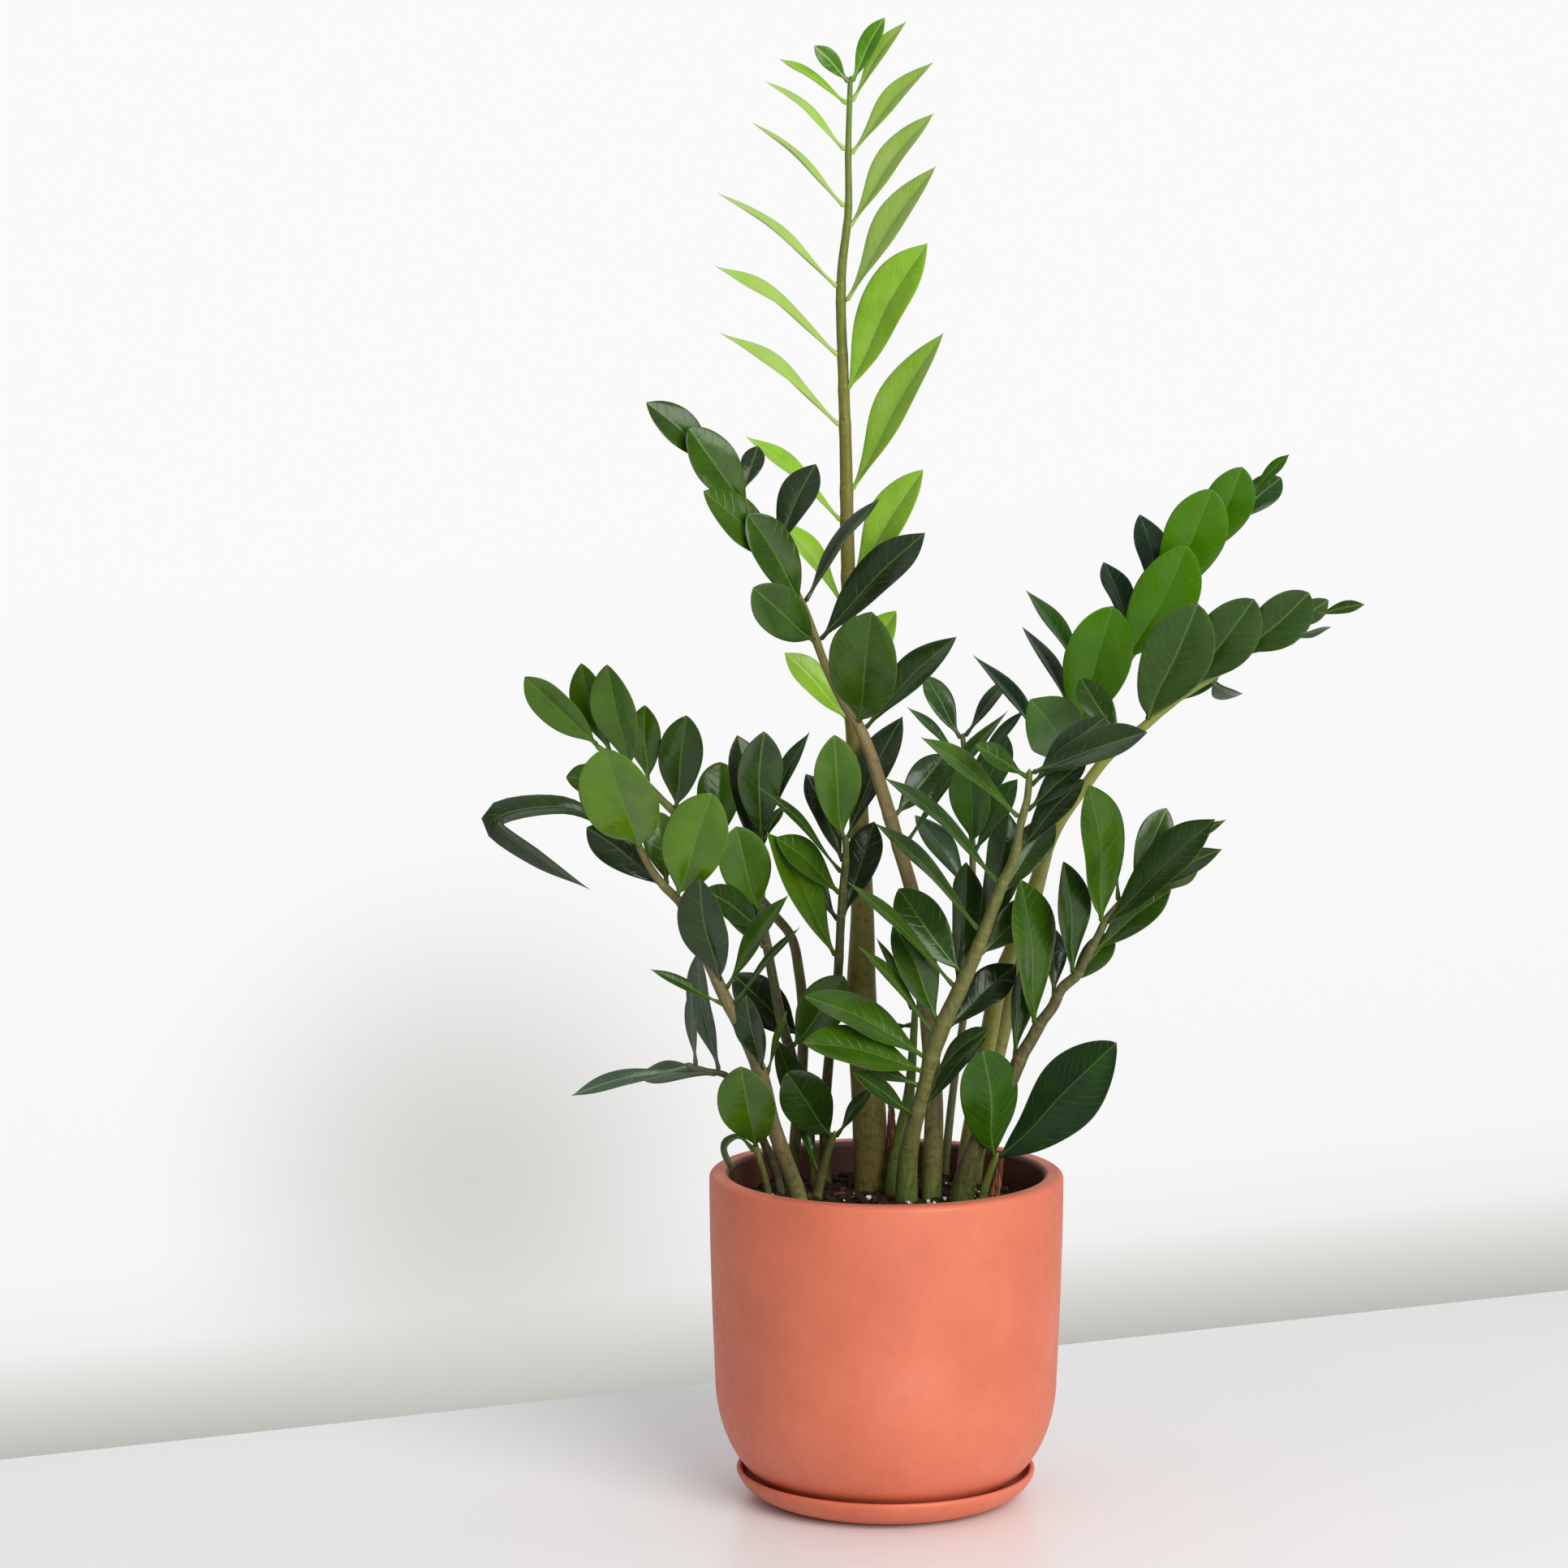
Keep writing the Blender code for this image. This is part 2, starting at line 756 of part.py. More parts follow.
            (315, 48, 0, 24, 16, 45),
            (326, 47, 26, 25, 10, 50),
        ],
    ),
    # Two broad leaflets on a short stem by the right wall.
    "low_right_sprig": dict(
        stem=[
            (48, -13, 153, 2.4),
            (52, -15, 170, 1.9),
            (56, -18, 181, 1.4),
        ],
        left=[
            (178, -8, -22, 59, 32, 15),
        ],
        right=[
            (178, 58, -30, 64, 40, 40),
        ],
    ),
    # A short stem by the left wall, one leaflet upright and one curled over.
    "low_left_sprig": dict(
        stem=[
            (-59, -14, 153, 1.9),
            (-63, -19, 173, 1.7),
            (-67, -22, 187, 1.5),
        ],
        left=[
            (182, -11, 12, -17, 9, 60, ((-9, 2, 7), (-15, 7, 3))),
        ],
        right=[
            (185, -7, -36, 47, 30, 10),
        ],
    ),
    # A thin stem that runs out to the left, its leaflets withering.
    "far_left_low": dict(
        stem=[
            (-54, 18, 153, 2.4),
            (-65, 8, 188, 2.1),
            (-73, 2, 208, 1.9),
            (-82, -3, 218, 1.6),
            (-92, -7, 221, 1.4),
            (-102, -10, 225, 1.2),
        ],
        left=[
            (219, -42, 22, -5, 15, 50),
            (224, -60, -10, -14, 11, 40),
        ],
        right=[
            (219, -10, -8, 64, 20, 45),
            (223, -1, -18, 44, 10, 45),
        ],
    ),
    # Short, just left of the middle.
    "low_centre_sprig": dict(
        stem=[
            (-35, 8, 153, 2.7),
            (-31, 3, 172, 2.1),
            (-26, -2, 189, 1.4),
        ],
        left=[
            (163, -24, 10, 72, 20, 45),
            (186, -24, -28, 38, 27, 10),
        ],
        right=[
            (186, 20, -8, 27, 9, 40),
        ],
    ),
    # At the back, seen between the others.
    "behind_centre": dict(
        stem=[
            (32, 60, 153, 2.4),
            (34, 63, 175, 2.2),
            (38, 68, 208, 2.0),
            (43, 73, 241, 1.9),
            (46, 78, 266, 1.8),
            (47, 84, 299, 1.7),
            (47, 89, 324, 1.7),
            (44, 96, 358, 1.5),
            (42, 100, 382, 1.3),
        ],
        left=[
            (300, -30, 12, 39, 19, 45),
            (324, -4, -26, 50, 25, 30),
            (367, -31, -10, 30, 8, 50),
            (379, -20, 8, 33, 15, 20),
        ],
        right=[
            (320, 23, -10, 40, 17, 40),
            (334, 20, 18, 46, 21, 30),
            (356, 30, -10, 40, 9, 45),
            (380, 25, 8, 31, 11, 45),
        ],
    ),
    # A thick green stem in the middle with a few small leaflets.
    "middle_green": dict(
        stem=[
            (4, 12, 153, 4.8),
            (7, 16, 178, 3.9),
            (12, 20, 203, 2.9),
            (14, 18, 229, 2.1),
            (15, 16, 250, 1.5),
        ],
        left=[
            (240, -18, 14, -6, 7, 35),
            (248, -20, -4, 38, 6, 45),
        ],
        right=[
            (246, 10, 20, 25, 13, 25),
        ],
    ),
}


def main():
    clear_scene()
    clay = (0.73, 0.22, 0.13)
    saucer_clay = make_material("clay_saucer", clay, 0.75)
    pot_clay = make_material("clay_pot", clay, 0.75)
    soil_brown = make_material("soil_brown", (0.035, 0.022, 0.015), 0.95)
    add_object("saucer", *turned_body(saucer_profile(), ROUND_STEPS), saucer_clay)
    add_object("pot", *turned_body(pot_profile(), ROUND_STEPS), pot_clay)
    soil = add_object("potting_soil", *soil_body(), soil_brown)
    for name, frond in FRONDS.items():
        young = name == "tall_young"
        leaf_colour = (0.16, 0.38, 0.03) if young else (0.04, 0.15, 0.015)
        stem_colour = (0.12, 0.13, 0.03) if young else (0.13, 0.12, 0.05)
        stem = Stem(frond["stem"])
        stem_green = make_material("stem_green_" + name, stem_colour, 0.5)
        add_object("stem_" + name, *stem.body(), stem_green)
        for rank in ("left", "right"):
            leaf_green = make_material("leaf_green_" + rank + "_" + name, leaf_colour, 0.35)
            leaflets = [Leaflet(stem, *row) for row in frond[rank]]
            points, faces = rank_body(stem, leaflets)
            add_object("leaves_" + rank + "_" + name, points, faces, leaf_green)
        socket = stem.body(grow=FIT_GAP, stop=PLANTING_DEPTH + 12.0)
        cutter = add_object("socket_" + name, *socket, None)
        cutter.hide_render = True
        cutter.display_type = "WIRE"
        cut = soil.modifiers.new("socket_" + name, "BOOLEAN")
        cut.operation = "DIFFERENCE"
        cut.solver = "EXACT"
        cut.object = cutter


main()
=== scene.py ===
"""Looks of a potted ZZ plant: fired clay, potting mix, stems and waxy leaflets.

The sections follow the plant as it is potted, from the saucer to the last
frond, and then the table, the light and the camera. Lengths are millimetres,
which MM turns into metres as each mesh is made.
"""

import math
from functools import partial

import bpy
import numpy as np
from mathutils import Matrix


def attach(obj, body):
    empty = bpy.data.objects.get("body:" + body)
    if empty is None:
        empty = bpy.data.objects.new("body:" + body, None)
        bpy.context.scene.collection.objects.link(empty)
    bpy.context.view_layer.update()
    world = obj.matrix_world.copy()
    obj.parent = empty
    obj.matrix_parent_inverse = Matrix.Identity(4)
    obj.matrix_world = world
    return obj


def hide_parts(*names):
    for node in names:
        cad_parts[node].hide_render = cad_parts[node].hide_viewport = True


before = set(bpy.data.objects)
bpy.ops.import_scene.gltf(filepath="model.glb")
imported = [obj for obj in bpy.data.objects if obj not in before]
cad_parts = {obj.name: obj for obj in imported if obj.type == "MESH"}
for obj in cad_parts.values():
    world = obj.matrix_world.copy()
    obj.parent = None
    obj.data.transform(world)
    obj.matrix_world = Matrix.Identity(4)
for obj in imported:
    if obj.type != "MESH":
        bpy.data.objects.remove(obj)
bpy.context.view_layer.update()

MM = 0.001

# ---- Saucer ----
# A shallow round dish of unglazed terracotta, turned on a wheel and fired. It
# stands on a flat foot, and its rounded lip is about three millimetres wide.

SAUCER_RIM = 76.5
SAUCER_TOP = 15.5
SAUCER_FLOOR = 6.0
SAUCER_OUTLINE = [
    (0.0, 0.0), (40.0, 0.0), (57.0, 0.0), (SAUCER_RIM - 10.5, 2.6),
    (SAUCER_RIM - 4.5, 6.6), (SAUCER_RIM - 1.0, 11.5), (SAUCER_RIM, SAUCER_TOP - 1.6),
    (SAUCER_RIM - 0.6, SAUCER_TOP), (SAUCER_RIM - 2.4, SAUCER_TOP),
    (SAUCER_RIM - 3.2, SAUCER_TOP - 1.4), (SAUCER_RIM - 4.6, 10.4), (SAUCER_RIM - 8.0, 7.4),
    (SAUCER_RIM - 14.0, SAUCER_FLOOR), (30.0, SAUCER_FLOOR), (0.0, SAUCER_FLOOR),
]
TURNING_STEPS = 180


def linear(colour):
    """An sRGB hex colour as linear RGBA: c / 12.92 if dark, else ((c + 0.055) / 1.055) ^ 2.4."""
    value = np.array([int(colour[i : i + 2], 16) for i in (1, 3, 5)]) / 255.0
    low = value / 12.92
    high = ((value + 0.055) / 1.055) ** 2.4
    return (*np.where(value <= 0.04045, low, high).tolist(), 1.0)


def set_sockets(node, sockets):
    """Sets a node's sockets to values, or links them where they are given outputs."""
    for place, value in sockets.items():
        if isinstance(value, bpy.types.NodeSocket):
            node.id_data.links.new(value, node.inputs[place])
        else:
            node.inputs[place].default_value = value


def add_node(tree, kind, sockets=None, stops=(), give=0, **settings):
    """Adds a node with its settings, sockets and ramp stops, and returns the output give.

    Give is the output's number or name, or a slice for several outputs.
    """
    node = tree.nodes.new("ShaderNode" + kind)
    for name, value in settings.items():
        setattr(node, name, value)
    set_sockets(node, sockets or {})
    for index, (place, colour) in enumerate(stops):
        if index > 1:
            node.color_ramp.elements.new(place)
        node.color_ramp.elements[index].position = place
        node.color_ramp.elements[index].color = linear(colour)
    return node.outputs[give] if node.outputs else None


def new_material(name):
    """A material, add_node for its own tree, and the shader in that tree."""
    material = bpy.data.materials.new(name)
    material.use_nodes = True
    tree = material.node_tree
    return material, partial(add_node, tree), tree.nodes["Principled BSDF"]


def softened(outline, rounds):
    """Cuts each corner at a quarter of both its sides, some rounds over; the ends stay."""
    points = np.array(outline, float)
    for _ in range(rounds):
        near = 0.75 * points[:-1] + 0.25 * points[1:]
        far = 0.25 * points[:-1] + 0.75 * points[1:]
        between = np.stack([near, far], axis=1).reshape(-1, 2)
        points = np.vstack([points[:1], between[1:-1], points[-1:]])
    return points


def turned(outline, steps):
    """Turns an outline of (radius, height) about Z: (r cos a, r sin a, h) over points and angles.

    The outline starts and ends on the axis, where a fan of triangles closes it.
    """
    radius, height = np.array(outline, float).T
    angle = np.arange(steps) * math.tau / steps
    across = [radius[1:-1, None] * turn for turn in (np.cos(angle), np.sin(angle))]
    rings = np.stack([*across, np.repeat(height[1:-1, None], steps, axis=1)], axis=-1)
    ends = np.array([[0.0, 0.0, height[0]], [0.0, 0.0, height[-1]]])
    return np.vstack([rings.reshape(-1, 3), ends]), wrapped(len(radius) - 2, steps)


def wrapped(rings, steps):
    """Faces of a closed tube: quads between rings of points, and a fan to each end point."""
    step = np.arange(steps)
    after = (step + 1) % steps
    low = steps * np.arange(rings - 1)[:, None]
    quads = np.stack([low + step, low + after, low + steps + after, low + steps + step], axis=-1)
    first = rings * steps
    last = steps * (rings - 1)
    start = np.stack([np.full(steps, first), after, step], axis=-1)
    finish = np.stack([np.full(steps, first + 1), last + step, last + after], axis=-1)
    return quads.reshape(-1, 4), np.vstack([start, finish])


def new_piece(name, points, faces, material, features=None):
    """A smooth-shaded mesh object at the origin; features are vectors kept at its points."""
    mesh = bpy.data.meshes.new(name)
    quads, triangles = faces
    loops = np.concatenate([quads.ravel(), triangles.ravel()]).astype(np.int32)
    sizes = np.repeat([4, 3], [len(quads), len(triangles)]).astype(np.int32)
    starts = np.concatenate([[0], np.cumsum(sizes)[:-1]]).astype(np.int32)
    mesh.vertices.add(len(points))
    mesh.vertices.foreach_set("co", (MM * points).astype(np.float32).ravel())
    mesh.loops.add(len(loops))
    mesh.loops.foreach_set("vertex_index", loops)
    mesh.polygons.add(len(sizes))
    mesh.polygons.foreach_set("loop_start", starts)
    for key, values in (features or {}).items():
        layer = mesh.attributes.new(key, "FLOAT_VECTOR", "POINT")
        layer.data.foreach_set("vector", values.astype(np.float32).ravel())
    mesh.update(calc_edges=True)
    mesh.validate()
    mesh.shade_smooth()
    mesh.materials.append(material)
    piece = bpy.data.objects.new(name, mesh)
    bpy.context.scene.collection.objects.link(piece)
    return piece


def fired_clay(name, damp_and_shade_radius, damp_and_shade_height):
    """Unglazed terracotta: matte and chalky, so broad soft shading and a wide weak highlight.

    Clouds 50 mm wide come from the firing, 7 mm mottling from the body, and a 0.9 mm
    grit roughens it. Inside the radius and over the height given, the wall is painted
    dark brown: partly a stain from the wet mix, partly painted shade inside the pot.
    """
    clay, add, shader = new_material(name)
    place = add("TexCoord", give="Object")
    clouds = add("TexNoise", {"Vector": place, "Scale": 1 / 0.050, "Detail": 3.0})
    mottle = add("TexNoise", {"Vector": place, "Scale": 1 / 0.007, "Detail": 4.0})
    grit = add("TexNoise", {"Vector": place, "Scale": 1 / 0.0009, "Detail": 2.0})
    body = add("ValToRGB", {0: clouds}, [(0.30, "#CA6648"), (0.55, "#D46F51"), (0.78, "#DB795D")])
    speck = add("MapRange", {0: mottle, 1: 0.50, 2: 0.78, 3: 0.0, 4: 0.16})
    mixed = add("Mix", {0: speck, 6: body, 7: linear("#B25A42")}, give=2, data_type="RGBA")
    bloom = add("MapRange", {0: grit, 1: 0.58, 2: 0.75, 3: 0.0, 4: 0.18})
    dusty = add("Mix", {0: bloom, 6: mixed, 7: linear("#EBA184")}, give=2, data_type="RGBA")
    x, y, z = add("SeparateXYZ", {0: place}, give=slice(3))
    flat = add("CombineXYZ", {0: x, 1: y})
    radius = add("VectorMath", {0: flat}, give="Value", operation="LENGTH")
    # Inside the pot, over the given height, the wall is painted dark brown: partly a stain from the
    # wet mix, partly painted shade.
    wall = {0: radius, 1: MM * (damp_and_shade_radius + 2.0), 2: MM * damp_and_shade_radius, 3: 0.0, 4: 0.92}
    inner = add("MapRange", wall, interpolation_type="SMOOTHSTEP")
    over = add("Math", {0: z, 1: MM * damp_and_shade_height}, operation="GREATER_THAN")
    damp_and_shade = add("Math", {0: inner, 1: over}, operation="MULTIPLY")
    stain_and_shade = add("Mix", {0: damp_and_shade, 6: dusty, 7: linear("#43261A")}, give=2, data_type="RGBA")
    rough = add("MapRange", {0: mottle, 1: 0.3, 2: 0.7, 3: 0.46, 4: 0.60})
    relief = add("Bump", {"Height": grit, "Strength": 0.35, "Distance": 0.15 * MM})
    waves = add("Bump", {"Height": clouds, "Strength": 0.3, "Distance": 0.8 * MM, "Normal": relief})
    gloss = {"Roughness": rough, "Specular IOR Level": 0.6}
    set_sockets(shader, {"Base Color": stain_and_shade, "Normal": waves, **gloss})
    return clay


dish_clay = fired_clay("fired_terracotta_dish", 0.0, SAUCER_TOP)
dish_outline = softened(SAUCER_OUTLINE, 3)
dish = new_piece("turned_saucer", *turned(dish_outline, TURNING_STEPS), dish_clay)
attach(dish, "root")
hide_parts("saucer")

# ---- Pot ----
# A thick-walled terracotta pot of the same clay: nearly straight sides, a broad
# round curve down to a small foot, and a flat-topped rim with softened edges.

POT_TOP = 168.0
POT_RIM = 90.0
WALL = 10.0
FOOT_HEIGHT = 6.3
FOOT_RADIUS = 46.0
BELLY_HEIGHT = 62.0
RIM_ROUND = 3.0
FLOOR_HEIGHT = 15.3
# Over this height the pot's inner wall is painted dark: partly damp stain, partly painted shade.
DAMP_AND_SHADE_HEIGHT = 140.0


def pot_radius(height):
    """Outer radius: a quarter ellipse up to the belly, then a slow quarter sine to the rim."""
    height = np.asarray(height, float)
    drop = np.clip((BELLY_HEIGHT - height) / (BELLY_HEIGHT - FOOT_HEIGHT + 0.3), 0.0, 1.0)
    rise = np.clip((height - BELLY_HEIGHT) / (POT_TOP - BELLY_HEIGHT), 0.0, 1.0)
    lower = 49.0 + 38.2 * np.sqrt(1.0 - drop**2)
    return np.where(height < BELLY_HEIGHT, lower, 87.2 + 2.8 * np.sin(0.5 * math.pi * rise))


def quarter(centre, radius, start):
    """Eight points of a quarter circle, from start degrees on, leftwards."""
    angle = np.radians(start + np.linspace(0.0, 90.0, 8))
    return np.stack([centre[0] + radius * np.cos(angle), centre[1] + radius * np.sin(angle)], -1)


fall = np.linspace(0.0, 1.0, 30) ** 2
belly = FOOT_HEIGHT + (BELLY_HEIGHT - FOOT_HEIGHT) * fall
side = np.linspace(BELLY_HEIGHT, POT_TOP - RIM_ROUND, 12)[1:-1]
heights = np.concatenate([belly, side])
inside = np.array([145.0, 100.0, 62.0, 44.0, 31.0, 21.0])
pot_outline = np.vstack(
    [
        [(0.0, FOOT_HEIGHT), (FOOT_RADIUS, FOOT_HEIGHT)],
        np.stack([pot_radius(heights), heights], axis=-1),
        quarter((POT_RIM - RIM_ROUND, POT_TOP - RIM_ROUND), RIM_ROUND, 0.0),
        quarter((POT_RIM - WALL + RIM_ROUND, POT_TOP - RIM_ROUND), RIM_ROUND, 90.0),
        np.stack([pot_radius(inside) - WALL + 0.4, inside], axis=-1),
        [(FOOT_RADIUS, FLOOR_HEIGHT), (0.0, FLOOR_HEIGHT)],
    ]
)
pot_clay = fired_clay("fired_terracotta_pot", POT_RIM - WALL + 0.8, DAMP_AND_SHADE_HEIGHT)
pot = new_piece("turned_pot", *turned(pot_outline, TURNING_STEPS), pot_clay)
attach(pot, "root")
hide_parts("pot")

# ---- Potting soil ----
# A dark peaty mix, filled to fifteen millimetres under the rim. It settles in
# lumps, and is a little lower along the wall than in the middle.

SOIL_TOP = 153.0
SOIL_EDGE = 80.0
SOIL_FOOT = 15.7
SOIL_STEPS = 220
SETTLING = 0.0004
# Width and height of each layer of lumps.
LUMPS = ((34.0, 0.9), (17.0, 0.8), (9.0, 0.8), (5.2, 0.6), (3.1, 0.4))


def soil_height(x, y):
    """Height of the mix: its top, less SETTLING times the squared distance from the middle.

    On that lie layers of crossed waves, each finer and lower than the last.
    """
    draw = np.random.default_rng(11)
    height = SOIL_TOP - SETTLING * (x * x + y * y)
    for wave, lift in LUMPS:
        for _ in range(3):
            turn, shift = draw.uniform(0.0, math.tau, 2)
            ahead = x * math.cos(turn) + y * math.sin(turn)
            sideways = y * math.cos(turn) - x * math.sin(turn)
            bend = 0.8 * np.sin(math.tau * sideways / (1.7 * wave) + 2.0 * shift)
            height = height + 0.5 * lift * np.sin(math.tau * ahead / wave + bend + shift)
    return height


def potting_mix(name, dark, light, grain):
    """Damp peat and composted bark: very dark, without shine, paler where crumbs dried, painted
    darker in its gaps as shade.
    """
    mix, add, shader = new_material(name)
    place = add("TexCoord", give="Object")
    lumps = add("TexNoise", {"Vector": place, "Scale": 1 / 0.009, "Detail": 6.0, "Roughness": 0.7})
    cells = add("TexVoronoi", {"Vector": place, "Scale": 1 / (MM * grain)}, give="Distance")
    tone = add("ValToRGB", {0: lumps}, [(0.34, dark), (0.56, light), (0.72, "#5E4632")])
    # Painted shade: the sunk gaps between crumbs are darkened, as shade falls in them.
    gaps = add("MapRange", {0: cells, 1: 0.25, 2: 0.75, 3: 0.0, 4: 0.7})
    shaded = add("Mix", {0: gaps, 6: tone, 7: linear("#120C08")}, give=2, data_type="RGBA")
    coarse = add("Bump", {"Height": cells, "Strength": 0.8, "Distance": -0.5 * MM})
    fine = add("Bump", {"Height": lumps, "Strength": 0.9, "Distance": 1.5 * MM, "Normal": coarse})
    gloss = {"Roughness": 0.95, "Specular IOR Level": 0.2}
    set_sockets(shader, {"Base Color": shaded, "Normal": fine, **gloss})
    return mix


reach = np.linspace(0.0, 1.0, 64)[1:] ** 0.8
soil_outline = np.vstack(
    [
        [(0.0, SOIL_FOOT), (FOOT_RADIUS - 0.4, SOIL_FOOT)],
        np.stack([pot_radius(inside[::-1]) - WALL, inside[::-1]], axis=-1),
        np.stack([SOIL_EDGE * reach[::-1], np.full(len(reach), SOIL_TOP)], axis=-1),
        [(0.0, SOIL_TOP)],
    ]
)
soil_points, soil_faces = turned(soil_outline, SOIL_STEPS)
top = soil_points[:, 2] == SOIL_TOP
soil_points[top, 2] = soil_height(soil_points[top, 0], soil_points[top, 1])
soil_mix = potting_mix("damp_potting_mix", "#1B130D", "#34251A", 1.6)
soil = new_piece("heaped_soil", soil_points, soil_faces, soil_mix)
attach(soil, "root")
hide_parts("potting_soil")

# ---- Crumbs, bark and perlite ----
# What lies loose on the mix: dark crumbs, slivers of reddish bark, and puffed
# white perlite, which gathers near the stems where water has washed it.

STREWN_RADIUS = 74.0


def unit(vectors):
    """Vectors divided by their lengths."""
    return vectors / np.linalg.norm(vectors, axis=-1, keepdims=True)


def pebble():
    """An octahedron, each face split in four and pushed out to the unit sphere: 32 faces."""
    corners = np.vstack([np.eye(3), -np.eye(3)])
    points = [*corners]
    faces = []
    for x, y, z in [(x, y, z) for x in (0, 3) for y in (1, 4) for z in (2, 5)]:
        a, b, c = (x, y, z) if np.linalg.det(corners[[x, y, z]]) > 0.0 else (x, z, y)
        middles = []
        for one, two in ((a, b), (b, c), (c, a)):
            middle = unit(corners[one] + corners[two])
            same = [i for i, point in enumerate(points) if np.allclose(point, middle)]
            middles.append(same[0] if same else len(points))
            points += [] if same else [middle]
        ab, bc, ca = middles
        faces += [(a, ab, ca), (b, bc, ab), (c, ca, bc), (ab, bc, ca)]
    return np.array(points), np.array(faces)


def strewn(draw, places, sizes, stretch, sink):
    """Many pebbles as one mesh, each roughened, stretched, turned and set on the mix.

    A pebble's point is R (S p (1 + noise)) + place, with R a turn about Z and a small tilt.
    """
    ball, faces = pebble()
    count = len(places)
    rough = 1.0 + 0.22 * draw.normal(size=(count, len(ball), 1))
    local = ball[None] * np.clip(rough, 0.6, 1.4) * (sizes[:, None] * stretch)[:, None, :]
    turn = draw.uniform(0.0, math.tau, count)[:, None]
    tilt = draw.normal(0.0, 0.35, count)[:, None]
    x, y, z = np.moveaxis(local, -1, 0)
    x, z = x * np.cos(tilt) - z * np.sin(tilt), x * np.sin(tilt) + z * np.cos(tilt)
    x, y = x * np.cos(turn) - y * np.sin(turn), x * np.sin(turn) + y * np.cos(turn)
    ground = soil_height(places[:, 0], places[:, 1]) + sink * sizes
    points = np.stack([x + places[:, :1], y + places[:, 1:], z + ground[:, None]], axis=-1)
    shift = len(ball) * np.arange(count)[:, None, None]
    return points.reshape(-1, 3), (np.empty((0, 4), int), (faces[None] + shift).reshape(-1, 3))


def scattered(draw, count, clusters, spread):
    """Places on the mix: most over the whole disc, evenly by area, the rest round clusters."""
    angle = draw.uniform(0.0, math.tau, count)
    out = STREWN_RADIUS * np.sqrt(draw.uniform(0.0, 1.0, count))
    places = np.stack([out * np.cos(angle), out * np.sin(angle)], axis=-1)
    for x, y, some in clusters:
        places = np.vstack([places, draw.normal((x, y), spread, (some, 2))])
    return places[np.hypot(*places.T) < STREWN_RADIUS + 2.0]


def puffed_stone(name):
    """Perlite, volcanic glass popped by heat: chalk white, matte, pitted, darker in its hollows."""
    stone, add, shader = new_material(name)
    place = add("TexCoord", give="Object")
    pits = add("TexNoise", {"Vector": place, "Scale": 1 / 0.0012, "Detail": 3.0})
    tone = add("ValToRGB", {0: pits}, [(0.30, "#8F8577"), (0.48, "#D9D3C7"), (0.65, "#F2EFE8")])
    dents = add("Bump", {"Height": pits, "Strength": 0.7, "Distance": 0.3 * MM})
    set_sockets(shader, {"Roughness": 0.9, "Base Color": tone, "Normal": dents})
    return stone


crumb_mix = potting_mix("crumbled_potting_mix", "#20160F", "#453122", 0.9)
bark_mix = potting_mix("composted_bark", "#4A2A1C", "#7A4A32", 0.8)
perlite = puffed_stone("popped_perlite")
draw = np.random.default_rng(5)
# Name, finish, count, clusters (x, y, count), their spread, sizes, stretch and sink.
for name, finish, count, clusters, spread, sizes, stretch, sink in (
    (
        "soil_crumbs", crumb_mix, 420, [(-7, 8, 30), (30, -20, 30), (-40, 0, 20)],
        12.0, (0.8, 2.6), (1.2, 0.9, 0.75), 0.25,
    ),
    (
        "bark_slivers", bark_mix, 34, [(-2, 12, 12), (14, 2, 8), (-10, 38, 5)],
        9.0, (1.6, 3.4), (2.0, 0.45, 0.35), 0.45,
    ),
    (
        "perlite_grains", perlite, 26,
        [(16, -16, 22), (-28, -20, 12), (34, -24, 12), (-16, 2, 8), (44, 14, 8)],
        5.5, (0.6, 1.7), (1.0, 0.85, 0.8), 0.5,
    ),
):
    places = scattered(draw, count, clusters, spread)
    across = draw.uniform(*sizes, len(places))
    loose = new_piece(name, *strewn(draw, places, across, np.array(stretch), sink), finish)
    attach(loose, "root")

# ---- Tall young frond ----
# The newest shoot, still unrolling at its tip: a thick mottled stem that tapers
# to a green point, with slim, folded, light green leaflets in two ranks.

FRONT = np.array([0.0, -1.0, 0.0])
PLANTED = 24.0
STEM_SIDES = 20
RING_STEP = 2.0
FAR_FROM_NODE = 50.0
# Across a leaflet, as shares of its half width; denser at the midrib and the margin.
ACROSS = np.array([0.0, 0.06, 0.14, 0.30, 0.50, 0.70, 0.86, 0.96, 1.0])
LEAF_STEPS = 30
LEAF_TWIST = 9.0
VEIN_GAP = 5.5
SCRAP_STEPS = 24


def bell(distance, width):
    """A bell curve: e to the minus (distance / width) squared."""
    return np.exp(-((distance / width) ** 2))


def along_path(knots, shares):
    """Points at shares of a smooth path: cubics through the knots, sloped by their neighbours."""
    knots = np.asarray(knots, float)
    steps = np.linalg.norm(np.diff(knots[:, :3], axis=0), axis=1)
    place = np.concatenate([[0.0], np.cumsum(steps)])
    slopes = np.gradient(knots, place, axis=0)
    wanted = np.asarray(shares) * place[-1]
    index = np.clip(np.searchsorted(place, wanted, side="right") - 1, 0, len(place) - 2)
    gap = (place[index + 1] - place[index])[:, None]
    part = (wanted - place[index])[:, None] / gap
    square, cube = part**2, part**3
    return (
        (2.0 * cube - 3.0 * square + 1.0) * knots[index]
        + (cube - 2.0 * square + part) * gap * slopes[index]
        + (3.0 * square - 2.0 * cube) * knots[index + 1]
        + (cube - square) * gap * slopes[index + 1]
    )


